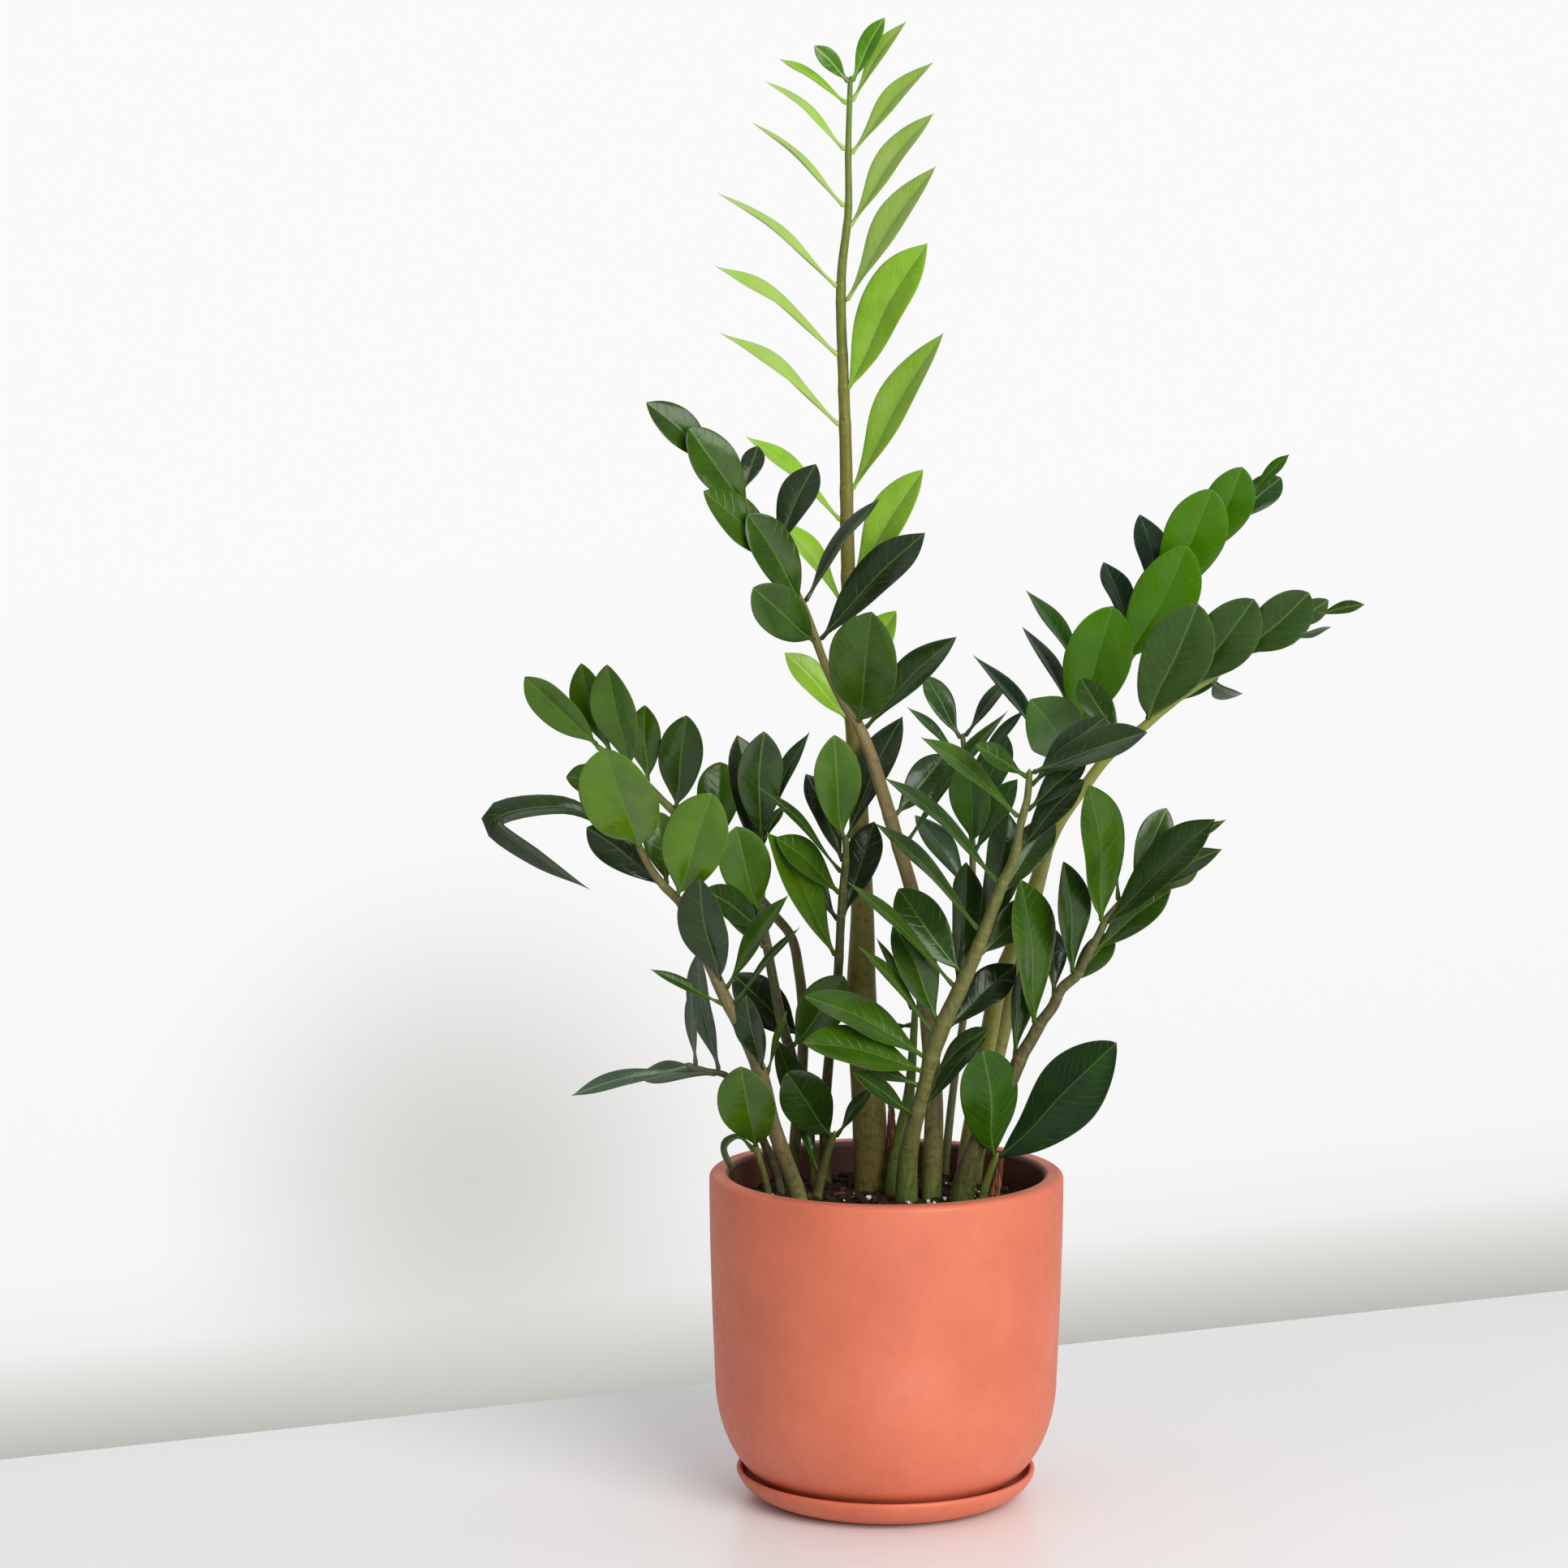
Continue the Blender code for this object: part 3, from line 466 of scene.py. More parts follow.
def stem_surface(rows, feet):
    """A round stem along its path: point = middle + r (cos a side + sin a front).

    The radius swells a fourteenth at each foot in feet, as nodes do, is pinched just
    over it, ripples a little round the stem, and closes in a dome at the top.
    Returns points, faces and, for each point, (share of the height, distance to
    the nearest foot, share of the way round).
    """
    below = (rows[0][0], rows[0][1], rows[0][2] - PLANTED, 0.9 * rows[0][3])
    knots = [below, *rows]
    length = np.linalg.norm(np.diff(np.array(knots)[:, :3], axis=0), axis=1).sum()
    path = along_path(knots, np.linspace(0.0, 1.0, int(length / RING_STEP) + 2))
    middle, radius = path[:, :3], path[:, 3]
    run = unit(np.gradient(middle, axis=0))
    side = unit(np.cross(run, FRONT))
    front = np.cross(run, side)
    gaps = middle[:, None, 2] - np.array(feet)[None, :]
    nearest = gaps[np.arange(len(gaps)), np.abs(gaps).argmin(axis=1)]
    swell = 1.0 + 0.07 * bell(nearest, 3.2) - 0.025 * bell(nearest - 5.0, 1.6)
    to_end = np.linalg.norm(middle - middle[-1], axis=1)
    closing = 1.0 - np.clip(to_end / (1.5 * radius[-1]), 0.0, 1.0)
    dome = np.sqrt(np.clip(1.0 - closing**2, 0.02, 1.0))
    angle = np.arange(STEM_SIDES) * math.tau / STEM_SIDES
    ripple = 1.0 + 0.018 * np.sin(3.0 * angle[None, :] + 0.02 * middle[:, 2:])
    around = (radius * swell * dome)[:, None] * ripple
    rings = (
        middle[:, None]
        + around[..., None] * np.cos(angle)[None, :, None] * side[:, None]
        + around[..., None] * np.sin(angle)[None, :, None] * front[:, None]
    )
    points = np.vstack([rings.reshape(-1, 3), middle[:1], middle[-1:] + 0.1 * run[-1:]])
    share = (middle[:, 2] - rows[0][2]) / (rows[-1][2] - rows[0][2])
    by_ring = np.repeat(np.stack([share, nearest], axis=-1), STEM_SIDES, axis=0)
    marks = np.c_[by_ring, np.tile(angle / math.tau, len(middle))]
    ends = [[share[0], FAR_FROM_NODE, 0.0], [share[-1], FAR_FROM_NODE, 0.0]]
    marks = np.vstack([marks, ends])
    return points, wrapped(len(middle), STEM_SIDES), marks


def blade_normals(run, tangent, angle):
    """A blade's normals along its run, turned by angle from the front towards the stem's end."""
    facing = unit(FRONT - run * (run @ FRONT)[:, None])
    upward = np.cross(run, facing)
    upward = upward if upward[0].dot(tangent) > 0.0 else -upward
    return np.cos(angle)[:, None] * facing + np.sin(angle)[:, None] * upward


def leaflet_surface(stem, row, draw, fold, stalk):
    """One leaflet, closed all round, on a grid of steps along it and places across it.

    Row is (height of the foot, tip x, y, z, width, turn, shade, bends). Turn is the
    upper face's turn from the front towards the frond's tip, in degrees. Shade sets the
    leaflet's tone on its material's ramp: partly its own colour, partly painted light and
    shade, darker where the leaflet hangs in shade and paler where light falls on it. The
    middle line is a smooth path from the stem over any bends to the tip, a little arched.
    Half the width is w/2 sin(pi b^1.3)^(q + p b^7) at share b of the blade, over a
    2 mm stalk: q goes from 0.95 on slim leaflets, with a sharp p, to 0.54 on round
    ones, with a blunt p. Across, the blade is folded up at the midrib, its margins
    curve back and wave, and a groove over the midrib meets a keel under it.
    """
    height, *tip, width, turn, shade = row[:7]
    bends = row[7] if len(row) > 7 else ()
    stations = np.array(stem, float)
    rates = np.gradient(stations[:, :3], axis=0)
    columns = (*stations.T, *rates.T)
    here = np.array([np.interp(height, stations[:, 2], column) for column in columns])
    axis, radius, tangent = here[:3], here[3], unit(here[4:])
    first = np.array(bends[0] if bends else tip, float)
    out = unit(first - tangent * first.dot(tangent))
    foot = axis + 0.7 * radius * out
    end = axis + np.array(tip)
    reach = np.linalg.norm(end - foot)
    span = (end - foot) / reach
    normal = blade_normals(span[None], tangent, np.radians([turn]))[0]
    sway, twist, phase, seed = draw.uniform(-1.0, 1.0, 4)
    if bends:
        knots = np.array([foot, *(axis + np.array(bend) for bend in bends), end])
    else:
        sideways = sway * np.cross(normal, span)
        lean = 0.028 * normal + 0.02 * out + 0.010 * sideways
        near = foot + 0.22 * (end - foot) + reach * lean
        mid = foot + 0.58 * (end - foot) + reach * (0.040 * normal + 0.022 * sideways)
        knots = np.array([foot, near, mid, end])
    even = np.linspace(0.0, 1.0, LEAF_STEPS)
    share = 0.65 * even + 0.35 * 0.5 * (1.0 - np.cos(math.pi * even))
    middle = along_path(knots, share)
    run = unit(np.gradient(middle, axis=0))
    angle = math.radians(turn) + math.radians(LEAF_TWIST) * twist * (share - 0.4)
    normal = blade_normals(run, tangent, angle)
    across = np.cross(normal, run)

    length = np.linalg.norm(np.diff(middle, axis=0), axis=1).sum()
    start = min(stalk, 0.14 * length) / length
    blade = np.clip((share - start) / (1.0 - start), 0.0, 1.0)
    slim = np.clip(1.25 - 1.45 * width / length, 0.54, 0.95)
    power = slim + (0.10 + 0.80 * (slim - 0.54)) * blade**7
    half = 0.5 * width * np.clip(np.sin(math.pi * blade**1.30), 0.0, 1.0) ** power
    early = np.clip(1.0 - blade / 0.22, 0.0, 1.0)
    neck = 1.05 * early**2 + 0.7 * np.exp(-share * length / 1.6)
    half = np.sqrt(half**2 + neck**2)
    thick = 0.42 + 0.75 * early**2 - 0.22 * blade
    spot = np.concatenate([ACROSS[::-1], -ACROSS[1:]])
    spot = np.concatenate([spot, spot[::-1][1:-1]])
    on_top = np.repeat([1.0, -1.0], [2 * len(ACROSS) - 1, 2 * len(ACROSS) - 3])
    on_top[[0, 2 * len(ACROSS) - 2]] = 0.0
    flat = half[:, None] * spot
    tilt = fold * (1.15 - 0.55 * blade) * (1.0 - early**2)
    lift = flat**2 / np.sqrt(flat**2 + 1.2) * np.sin(tilt)[:, None] * (1.0 - 0.30 * spot**2)
    ripple = np.sin(math.tau * (1.4 * share[:, None] + phase) + 1.5 * np.sign(spot))
    wave = 0.07 * half[:, None] * np.abs(spot) ** 2 * ripple
    body = on_top * thick[:, None] * np.sqrt(np.clip(1.0 - np.abs(spot) ** 2.4, 0.0, 1.0))
    rib = np.clip(1.0 - share, 0.0, 1.0)[:, None] * np.clip(half / 5.0, 0.0, 1.0)[:, None]
    groove = -0.30 * rib * bell(flat, 0.8) * (on_top > 0.0)
    keel = -0.55 * rib * bell(flat, 0.9) * (on_top < 0.0)
    rings = (
        middle[:, None]
        + (flat * np.cos(tilt)[:, None])[..., None] * across[:, None]
        + (lift + wave + body + groove + keel)[..., None] * normal[:, None]
    )
    points = np.vstack([rings[1:-1].reshape(-1, 3), middle[:1], middle[-1:]])
    place = np.stack(np.broadcast_arrays(flat, share[:, None] * length, np.abs(spot)), axis=-1)
    ends = [[0.0, 0.0, 0.0], [0.0, length, 1.0]]
    place = np.vstack([place[1:-1].reshape(-1, 3), ends])
    faced = np.append(np.tile(0.5 + 0.5 * on_top, LEAF_STEPS - 2), [0.5, 0.5])
    kind = np.stack(np.broadcast_arrays(shade / 10.0, seed, faced), axis=-1)
    return points, wrapped(LEAF_STEPS - 2, len(spot)), place, kind


def rank_surface(stem, rows, draw, fold, stalk):
    """All the leaflets of one rank as one mesh, with each leaflet's marks for its finish."""
    grown = [leaflet_surface(stem, row, draw, fold, stalk) for row in rows]
    points, faces, place, kind = zip(*grown)
    shift = np.cumsum([0] + [len(one) for one in points])[:-1]
    joined = [np.vstack([one[i] + by for one, by in zip(faces, shift)]) for i in (0, 1)]
    return np.vstack(points), joined, np.vstack(place), np.vstack(kind)


def waxy_leaf(name, shades, under, rib, margin, shine):
    """A thick leaf with a waxy skin: a clear broad shine on top, duller and paler below.

    Side veins leave the sunk midrib every VEIN_GAP and curve towards the tip; in places
    they show as faint paler lines in shallow furrows. The margin is a thin line, about
    0.4 mm wide: on most leaves a painted highlight where light catches the edge, on the
    dry-edged leaf its real brown dry rim. Shine is the skin's specular level, higher where
    the wax is thick.
    """
    leaf, add, shader = new_material(name)
    place = add("Attribute", give="Vector", attribute_name="blade_place")
    kind = add("Attribute", give="Vector", attribute_name="blade_kind")
    across, along, edge = add("SeparateXYZ", {0: place}, give=slice(3))
    tone, own_tone, upper = add("SeparateXYZ", {0: kind}, give=slice(3))
    out = add("Math", {0: across}, operation="ABSOLUTE")
    side = add("Math", {0: across}, operation="SIGN")
    square = add("Math", {0: out, 1: out}, operation="MULTIPLY")
    bow = add("Math", {0: square, 1: -0.022, 2: along}, operation="MULTIPLY_ADD")
    slant = add("Math", {0: out, 1: -0.62, 2: bow}, operation="MULTIPLY_ADD")
    stray = add("TexNoise", {"Vector": place, "Scale": 0.06, "Detail": 1.0})
    strayed = add("Math", {0: stray, 1: 5.0, 2: slant}, operation="MULTIPLY_ADD")
    offset = add("Math", {0: side, 1: 1.3, 2: strayed}, operation="MULTIPLY_ADD")
    spaced = add("Math", {0: offset, 1: 0.5 * VEIN_GAP}, operation="PINGPONG")
    line = {0: spaced, 1: 0.75, 2: 0.0, 3: 0.0, 4: 1.0}
    vein = add("MapRange", line, interpolation_type="SMOOTHSTEP")
    faint = add("TexNoise", {"Vector": place, "Scale": 0.09, "Detail": 1.0})
    patches = add("MapRange", {0: faint, 1: 0.40, 2: 0.62, 3: 0.15, 4: 1.0})
    vein_part = add("Math", {0: vein, 1: patches}, operation="MULTIPLY")
    line = {0: out, 1: 0.75, 2: 0.15, 3: 0.0, 4: 1.0}
    midrib = add("MapRange", line, interpolation_type="SMOOTHSTEP")
    body = add("TexCoord", give="Object")
    cloud = add("TexNoise", {"Vector": body, "Scale": 1 / 0.016, "Detail": 3.0})
    skin = add("TexNoise", {"Vector": body, "Scale": 1 / 0.0014, "Detail": 1.0})
    drift = add("MapRange", {0: cloud, 1: 0.25, 2: 0.75, 3: -0.09, 4: 0.09})
    # Each leaflet's shade number places it on the ramp: partly its own tone, partly painted light
    # and shade for where it hangs.
    own = add("Math", {0: own_tone, 1: 0.035, 2: tone}, operation="MULTIPLY_ADD")
    shade = add("Math", {0: own, 1: drift}, operation="ADD")
    green = add("ValToRGB", {0: shade}, zip((0.08, 0.34, 0.62, 0.92), shades))
    vein_show = add("Math", {0: vein_part, 1: 0.13}, operation="MULTIPLY")
    veined = add("Mix", {0: vein_show, 6: green, 7: linear(rib)}, give=2, data_type="RGBA")
    below = add("MapRange", {0: upper, 1: 0.55, 2: 0.30, 3: 0.0, 4: 0.78})
    sided = add("Mix", {0: below, 6: veined, 7: linear(under)}, give=2, data_type="RGBA")
    rib_show = add("Math", {0: midrib, 1: 0.35}, operation="MULTIPLY")
    ribbed = add("Mix", {0: rib_show, 6: sided, 7: linear(rib)}, give=2, data_type="RGBA")
    # The margin line: on most leaves a painted highlight of light catching the edge, on the
    # dry-edged leaf a real dry brown rim.
    line = {0: edge, 1: 0.955, 2: 0.99, 3: 0.0, 4: 0.35}
    rim = add("MapRange", line, interpolation_type="SMOOTHSTEP")
    rimmed = add("Mix", {0: rim, 6: ribbed, 7: linear(margin)}, give=2, data_type="RGBA")
    rough = add("MapRange", {0: cloud, 1: 0.3, 2: 0.7, 3: 0.19, 4: 0.29})
    dull = add("Math", {0: below, 1: 0.28, 2: rough}, operation="MULTIPLY_ADD")
    ridge = add("Math", {0: vein_part, 1: -1.0}, operation="MULTIPLY")
    furrow = add("Bump", {"Height": ridge, "Strength": 0.45, "Distance": 0.25 * MM})
    pores = add("Bump", {"Height": skin, "Strength": 0.05, "Distance": 0.05 * MM, "Normal": furrow})
    billow = add("Bump", {"Height": cloud, "Strength": 0.7, "Distance": 1.4 * MM, "Normal": pores})
    coat = {"Coat Weight": 0.3 * shine, "Coat Roughness": 0.14}
    gloss = {"Roughness": dull, "Specular IOR Level": shine, **coat}
    set_sockets(shader, {"Base Color": rimmed, "Normal": billow, **gloss})
    return leaf


def stem_skin(name, foot_colour, middle_colour, top_colour, streak):
    """The smooth skin of a fleshy stem: satin, from brown-olive at its foot to green on top.

    Long streaks and 3 mm blotches mottle it, most of all low down, and each node
    has a pale brown line where a leaflet's stalk joins.
    """
    skin, add, shader = new_material(name)
    marks = add("Attribute", give="Vector", attribute_name="stem_marks")
    height, from_node = add("SeparateXYZ", {0: marks}, give=slice(2))
    place = add("TexCoord", give="Object")
    drawn = add("Mapping", {"Vector": place, "Scale": (1.0, 1.0, 0.16)})
    fibres = add("TexNoise", {"Vector": drawn, "Scale": 1 / 0.0016, "Detail": 3.0})
    grain = {"Vector": place, "Scale": 1 / 0.0034, "Detail": 4.0, "Roughness": 0.65}
    blotch = add("TexNoise", grain)
    stops = zip((0.0, 0.14, 0.62, 1.0), (foot_colour, middle_colour, middle_colour, top_colour))
    base = add("ValToRGB", {0: height}, stops)
    low = add("MapRange", {0: height, 1: 0.0, 2: 0.6, 3: 0.75, 4: 0.30})
    patchy = add("MapRange", {0: blotch, 1: 0.50, 2: 0.66, 3: 0.0, 4: 1.0})
    patch = add("Math", {0: patchy, 1: low}, operation="MULTIPLY")
    mottled = add("Mix", {0: patch, 6: base, 7: linear(streak)}, give=2, data_type="RGBA")
    lines = add("MapRange", {0: fibres, 1: 0.52, 2: 0.70, 3: 0.0, 4: 0.22})
    lined = add("Mix", {0: lines, 6: mottled, 7: linear("#A3985A")}, give=2, data_type="RGBA")
    off_node = add("Math", {0: from_node, 1: 2.2}, operation="SUBTRACT")
    far_off = add("Math", {0: off_node}, operation="ABSOLUTE")
    line = {0: far_off, 1: 1.0, 2: 0.2, 3: 0.0, 4: 0.26}
    ring = add("MapRange", line, interpolation_type="SMOOTHSTEP")
    ringed = add("Mix", {0: ring, 6: lined, 7: linear("#9A8358")}, give=2, data_type="RGBA")
    ribbing = add("Bump", {"Height": fibres, "Strength": 0.35, "Distance": 0.15 * MM})
    gloss = {"Roughness": 0.36, "Specular IOR Level": 0.26}
    set_sockets(shader, {"Base Color": ringed, "Normal": ribbing, **gloss})
    return skin


def plant_frond(name, seed, skin, leaf, stem, left, right, fold=20.0, stalk=4.0):
    """Makes a frond's stem and its two ranks, and lets each stand for its CAD node.

    Stem holds (x, y, z, radius) from the soil up; left and right hold one row for each
    leaflet. Fold is the blades' fold in degrees, and stalk the length of their stalks.
    """
    draw = np.random.default_rng(seed)
    feet = [row[0] for row in (*left, *right)]
    points, faces, marks = stem_surface(stem, feet)
    stalk_piece = new_piece("stalk_" + name, points, faces, skin, {"stem_marks": marks})
    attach(stalk_piece, "root")
    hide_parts("stem_" + name)
    for rank, rows in (("left", left), ("right", right)):
        points, faces, place, kind = rank_surface(stem, rows, draw, math.radians(fold), stalk)
        features = {"blade_place": place, "blade_kind": kind}
        leaflets = new_piece("leaflets_" + rank + "_" + name, points, faces, leaf, features)
        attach(leaflets, "root")
        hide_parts("leaves_" + rank + "_" + name)


def scrap_surface(foot, top, width, bow, draw):
    """A torn strip of an old leaf base, closed all round.

    At share t of its height it is foot + t (top - foot) + bow sin(pi t) forwards, with
    half width w/2 (1 - 0.7 t^2), ragged by up to a fifth, and curled as a shallow trough.
    """
    share = np.linspace(0.0, 1.0, SCRAP_STEPS)
    middle = np.array(foot) + share[:, None] * (np.array(top) - np.array(foot))
    middle[:, 1] -= bow * np.sin(math.pi * share)
    place = np.linspace(-1.0, 1.0, 9)
    half = 0.5 * width * (1.0 - 0.7 * share**2)
    left = half * (1.0 - 0.2 * draw.uniform(0.0, 1.0, SCRAP_STEPS))
    right = half * (1.0 - 0.2 * draw.uniform(0.0, 1.0, SCRAP_STEPS))
    sideways = np.where(place < 0.0, left[:, None], right[:, None]) * place
    curl = 0.35 * half[:, None] * place**2 + 0.25 * np.sin(9.0 * share[:, None] + 3.0 * place)
    sideways = np.hstack([sideways, sideways[:, ::-1][:, 1:-1]])
    behind = np.hstack([curl - 0.14, curl[:, ::-1][:, 1:-1] + 0.14])
    rings = middle[:, None] + np.stack([sideways, behind, np.zeros_like(behind)], axis=-1)
    points = np.vstack([rings.reshape(-1, 3), rings[0].mean(axis=0), rings[-1].mean(axis=0)])
    return points, wrapped(SCRAP_STEPS, rings.shape[1])


def dry_sheath(name):
    """Dead papery leaf base: matte, thin and russet, with fibres along it and paler tears."""
    paper, add, shader = new_material(name)
    place = add("TexCoord", give="Object")
    drawn = add("Mapping", {"Vector": place, "Scale": (1.0, 1.0, 0.12)})
    fibres = add("TexNoise", {"Vector": drawn, "Scale": 1 / 0.0009, "Detail": 4.0})
    tone = add("ValToRGB", {0: fibres}, [(0.30, "#3E1E12"), (0.50, "#7A3E24"), (0.72, "#A97450")])
    pleats = add("Bump", {"Height": fibres, "Strength": 0.6, "Distance": 0.3 * MM})
    set_sockets(shader, {"Roughness": 0.75, "Base Color": tone, "Normal": pleats})
    return paper


draw = np.random.default_rng(8)
for name, scrap in (
    ("tall_young", scrap_surface((4.5, 18.0, 151.0), (2.6, 17.0, 203.0), 8.0, 1.5, draw)),
    ("low_right_sprig", scrap_surface((54.0, -6.0, 151.0), (58.5, -7.0, 178.0), 6.5, 1.0, draw)),
):
    sheath = new_piece("papery_sheath_" + name, *scrap, dry_sheath("papery_sheath_of_" + name))
    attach(sheath, "root")

YOUNG_LEAF = waxy_leaf(
    "waxy_young_leaf", ("#2F5A12", "#558C14", "#8AB832", "#A6C068"),
    "#A3BC74", "#C2D690", "#A9B06A", 0.22,
)
stem = [
    (-7, 25, 153, 8.8), (-9, 24, 208, 8.6), (-12, 24, 246, 8), (-12, 23, 302, 5.8),
    (-15, 23, 366, 4.8), (-18, 22, 420, 4), (-20, 20, 490, 3.5), (-21, 18, 538, 3.1),
    (-22, 17, 566, 2.8), (-23, 15, 624, 2.3), (-20, 14, 651, 1.9), (-20, 13, 682, 1.6),
    (-19, 12, 719, 1.2),
]
left = [
    (397, -35, -8, 34, 18, 30, 6), (455, -36, 0, 43, 18, 55, 6), (497, -51, -5, 43, 18, 65, 6),
    (545, -63, -8, 47, 20, 70, 8), (580, -64, -8, 45, 20, 70, 8), (614, -62, -6, 47, 18, 75, 8),
    (654, -48, -5, 42, 15, 75, 8), (682, -41, -4, 34, 13, 65, 8), (705, -35, -4, 22, 10, 55, 5),
    (716, -18, -8, 17, 10, 5, 2),
]
right = [
    (355, 18, -4, 40, 13, 40, 6), (412, 22, -18, 41, 19, 30, 6), (469, 37, -20, 55, 25, 35, 6),
    (512, 48, -20, 80, 28, 50, 7), (563, 41, -25, 73, 31, 35, 6), (607, 46, -18, 67, 24, 55, 8),
    (644, 43, -16, 56, 20, 50, 8), (680, 42, -14, 45, 16, 50, 8), (706, 28, -12, 39, 12, 50, 8),
    (716, 17, -8, 31, 12, 25, 3),
]
skin = stem_skin("mottled_stem", "#75693A", "#746D30", "#5E7A2C", "#453C1C")
plant_frond("tall_young", 1, skin, YOUNG_LEAF, stem, left, right, fold=25.0, stalk=2.5)

# ---- Left leaning frond ----
# Mature, and grown out of true: its stem leaves the front of the tall one, bends
# left and carries dark round leaflets that overlap towards its tip.

MATURE_LEAF = waxy_leaf(
    "waxy_mature_leaf", ("#1B2B15", "#2A470C", "#426805", "#668C12"),
    "#4A6034", "#6C8C34", "#7C7A3C", 0.30,
)
stem = [
    (23, 0, 153, 5.2), (24, -3, 207, 4.6), (21, -5, 244, 4.1), (18, -7, 274, 3.8),
    (13, -9, 310, 3.6), (7, -11, 331, 3.5), (-3, -13, 364, 3.4), (-9, -15, 383, 3.1),
    (-15, -16, 397, 2.8), (-21, -17, 406, 2.4), (-30, -19, 424, 2.2), (-43, -22, 458, 1.9),
    (-56, -25, 482, 1.6), (-70, -27, 506, 1.4), (-86, -30, 530, 1),
]
left = [
    (398, 6, -60, 60, 38, 20, 5), (440, -31, -30, 28, 25, 5, 4), (458, -27, -22, 46, 25, 25, 4),
    (479, -37, -25, 36, 24, 35, 4), (504, -30, -18, 42, 25, 25, 4), (526, -36, -14, 32, 20, 30, 3),
]
right = [
    (335, 54, -8, 70, 14, 60, 3), (350, 28, 20, 30, 19, 15, 2), (394, 48, 6, 47, 22, 45, 2),
    (439, 54, 8, 54, 27, 40, 1), (458, 39, 18, 52, 18, 65, 1), (484, 21, 16, 43, 20, 25, 1),
    (512, 9, 14, 24, 12, 10, 1),
]
skin = stem_skin("tan_stem", "#566430", "#7C6E48", "#66682E", "#443C20")
plant_frond("left_leaning", 2, skin, MATURE_LEAF, stem, left, right)

# ---- Bright right frond ----
# Leans right and back. Its right rank turns its broad upper faces to the light,
# while the left rank behind is dark and grey.

BRIGHT_LEAF = waxy_leaf(
    "waxy_bright_leaf", ("#1E3226", "#294C09", "#386604", "#467706"),
    "#506444", "#63903A", "#6F7F3A", 0.16,
)
stem = [
    (47, 53, 153, 4.4), (57, 60, 206, 4.2), (68, 65, 252, 3.9), (84, 71, 319, 3.4),
    (102, 77, 386, 3), (119, 80, 411, 2.5), (131, 82, 428, 2.3), (149, 86, 453, 1.9),
    (164, 89, 472, 1.7), (179, 92, 491, 1.5), (193, 95, 510, 1.1),
]
# The left rank's low shade numbers are partly painted shade; the right rank's high ones are partly
# painted light on its faces.
left = [
    (361, -49, 6, 64, 20, 70, 1), (371, -26, -68, 37, 33, 5, 5), (388, -30, 26, 50, 18, 65, 2),
    (400, -37, 12, 58, 22, 65, 3), (428, -15, 22, 44, 20, 40, 1), (447, -10, 18, 50, 22, 30, 1),
]
right = [
    (386, 15, -22, 66, 37, 5, 8), (421, 29, -24, 62, 35, 5, 8), (452, 20, -22, 60, 34, 5, 8),
    (475, 18, -20, 48, 27, 5, 7), (494, 28, 15, 22, 17, 10, 2), (507, 20, -8, 22, 8, 35, 5),
]
skin = stem_skin("olive_stem", "#5F6E2E", "#7C7840", "#66802E", "#4E4C26")
plant_frond("bright_right", 3, skin, BRIGHT_LEAF, stem, left, right)

# ---- Far right frond ----
# A paler stem that crosses behind the right side and runs far out, with its broad
# leaflets standing in a row along it.

SOFT_LEAF = waxy_leaf(
    "waxy_soft_leaf", ("#1E3218", "#24400D", "#314E13", "#48682A"),
    "#5C6C4C", "#6E8A44", "#8A8A54", 0.20,
)
stem = [
    (42, 38, 153, 5.2), (48, 32, 201, 4.8), (52, 28, 226, 4.6), (60, 22, 267, 4.2),
    (66, 20, 283, 3.8), (75, 16, 311, 3.4), (87, 11, 344, 3.1), (100, 7, 364, 2.9),
    (110, 4, 378, 2.7), (130, -1, 396, 2.2), (145, -4, 409, 2), (163, -8, 421, 1.7),
    (181, -11, 434, 1.4), (200, -15, 446, 1.2), (213, -18, 455, 0.9),
]
left = [
    (386, -21, 12, 32, 17, 15, 4), (397, 21, -31, 62, 36, 5, 5), (414, 28, -22, 47, 31, 5, 4),
    (431, 31, -16, 33, 27, 5, 4), (443, 23, -6, 17, 13, 15, 4),
]
right = [
    (406, 27, 34, 25, 21, 15, 3), (420, 16, 30, -12, 15, -45, 2), (431, 31, 30, 14, 18, 30, 3),
    (442, 29, 14, 3, 9, -60, 3), (453, 26, -6, 5, 7, 25, 4),
]
skin = stem_skin("pale_olive_stem", "#8A8A46", "#85873E", "#728A3A", "#5A5826")
plant_frond("far_right", 4, skin, SOFT_LEAF, stem, left, right)

# ---- Front left frond ----
# Leans left and forwards. Two broad leaflets face the front, and one long one at
# the end has folded over and hangs.

stem = [
    (-44, -14, 153, 4.4), (-52, -22, 180, 4), (-58, -27, 199, 3.8), (-62, -32, 218, 3.7),
    (-68, -37, 236, 3.5), (-75, -42, 252, 3.3), (-81, -45, 264, 3.1), (-87, -50, 278, 2.9),
    (-93, -54, 291, 2.7), (-98, -58, 304, 2.4), (-103, -61, 314, 2.2), (-111, -65, 323, 2.1),
    (-119, -69, 335, 1.9), (-124, -72, 346, 1.6),
]
left = [
    (262, -38, -16, 19, 7, 40, 3), (322, -39, 14, 28, 21, 15, 1),
    (344, -22, -20, -20, 20, 50, 2, ((-36, -14, 20), (-68.6, -15, 13), (-48, -20, -3))),
]
right = [
    (222, 13, -6, 35, 5, 40, 4), (226, -6, -18, 41, 19, 35, 2), (260, 35, -24, 43, 6, 50, 3),
    (268, 33, -30, 52, 14, 45, 4), (273, -8, -35, 56, 27, 25, 2), (317, 19, -34, 55, 33, 5, 7),
    (322, -3, 10, 36, 18, 5, 5), (343, -14, -57.9, 54, 39, 10, 7),
]
skin = stem_skin("brown_olive_stem", "#76784A", "#6B6040", "#666038", "#443C26")
plant_frond("front_left", 5, skin, MATURE_LEAF, stem, left, right)

# ---- Back left frond ----
# Rises behind the last one and bends sharply left; its leaflets are glossy and
# half of them stand upright.

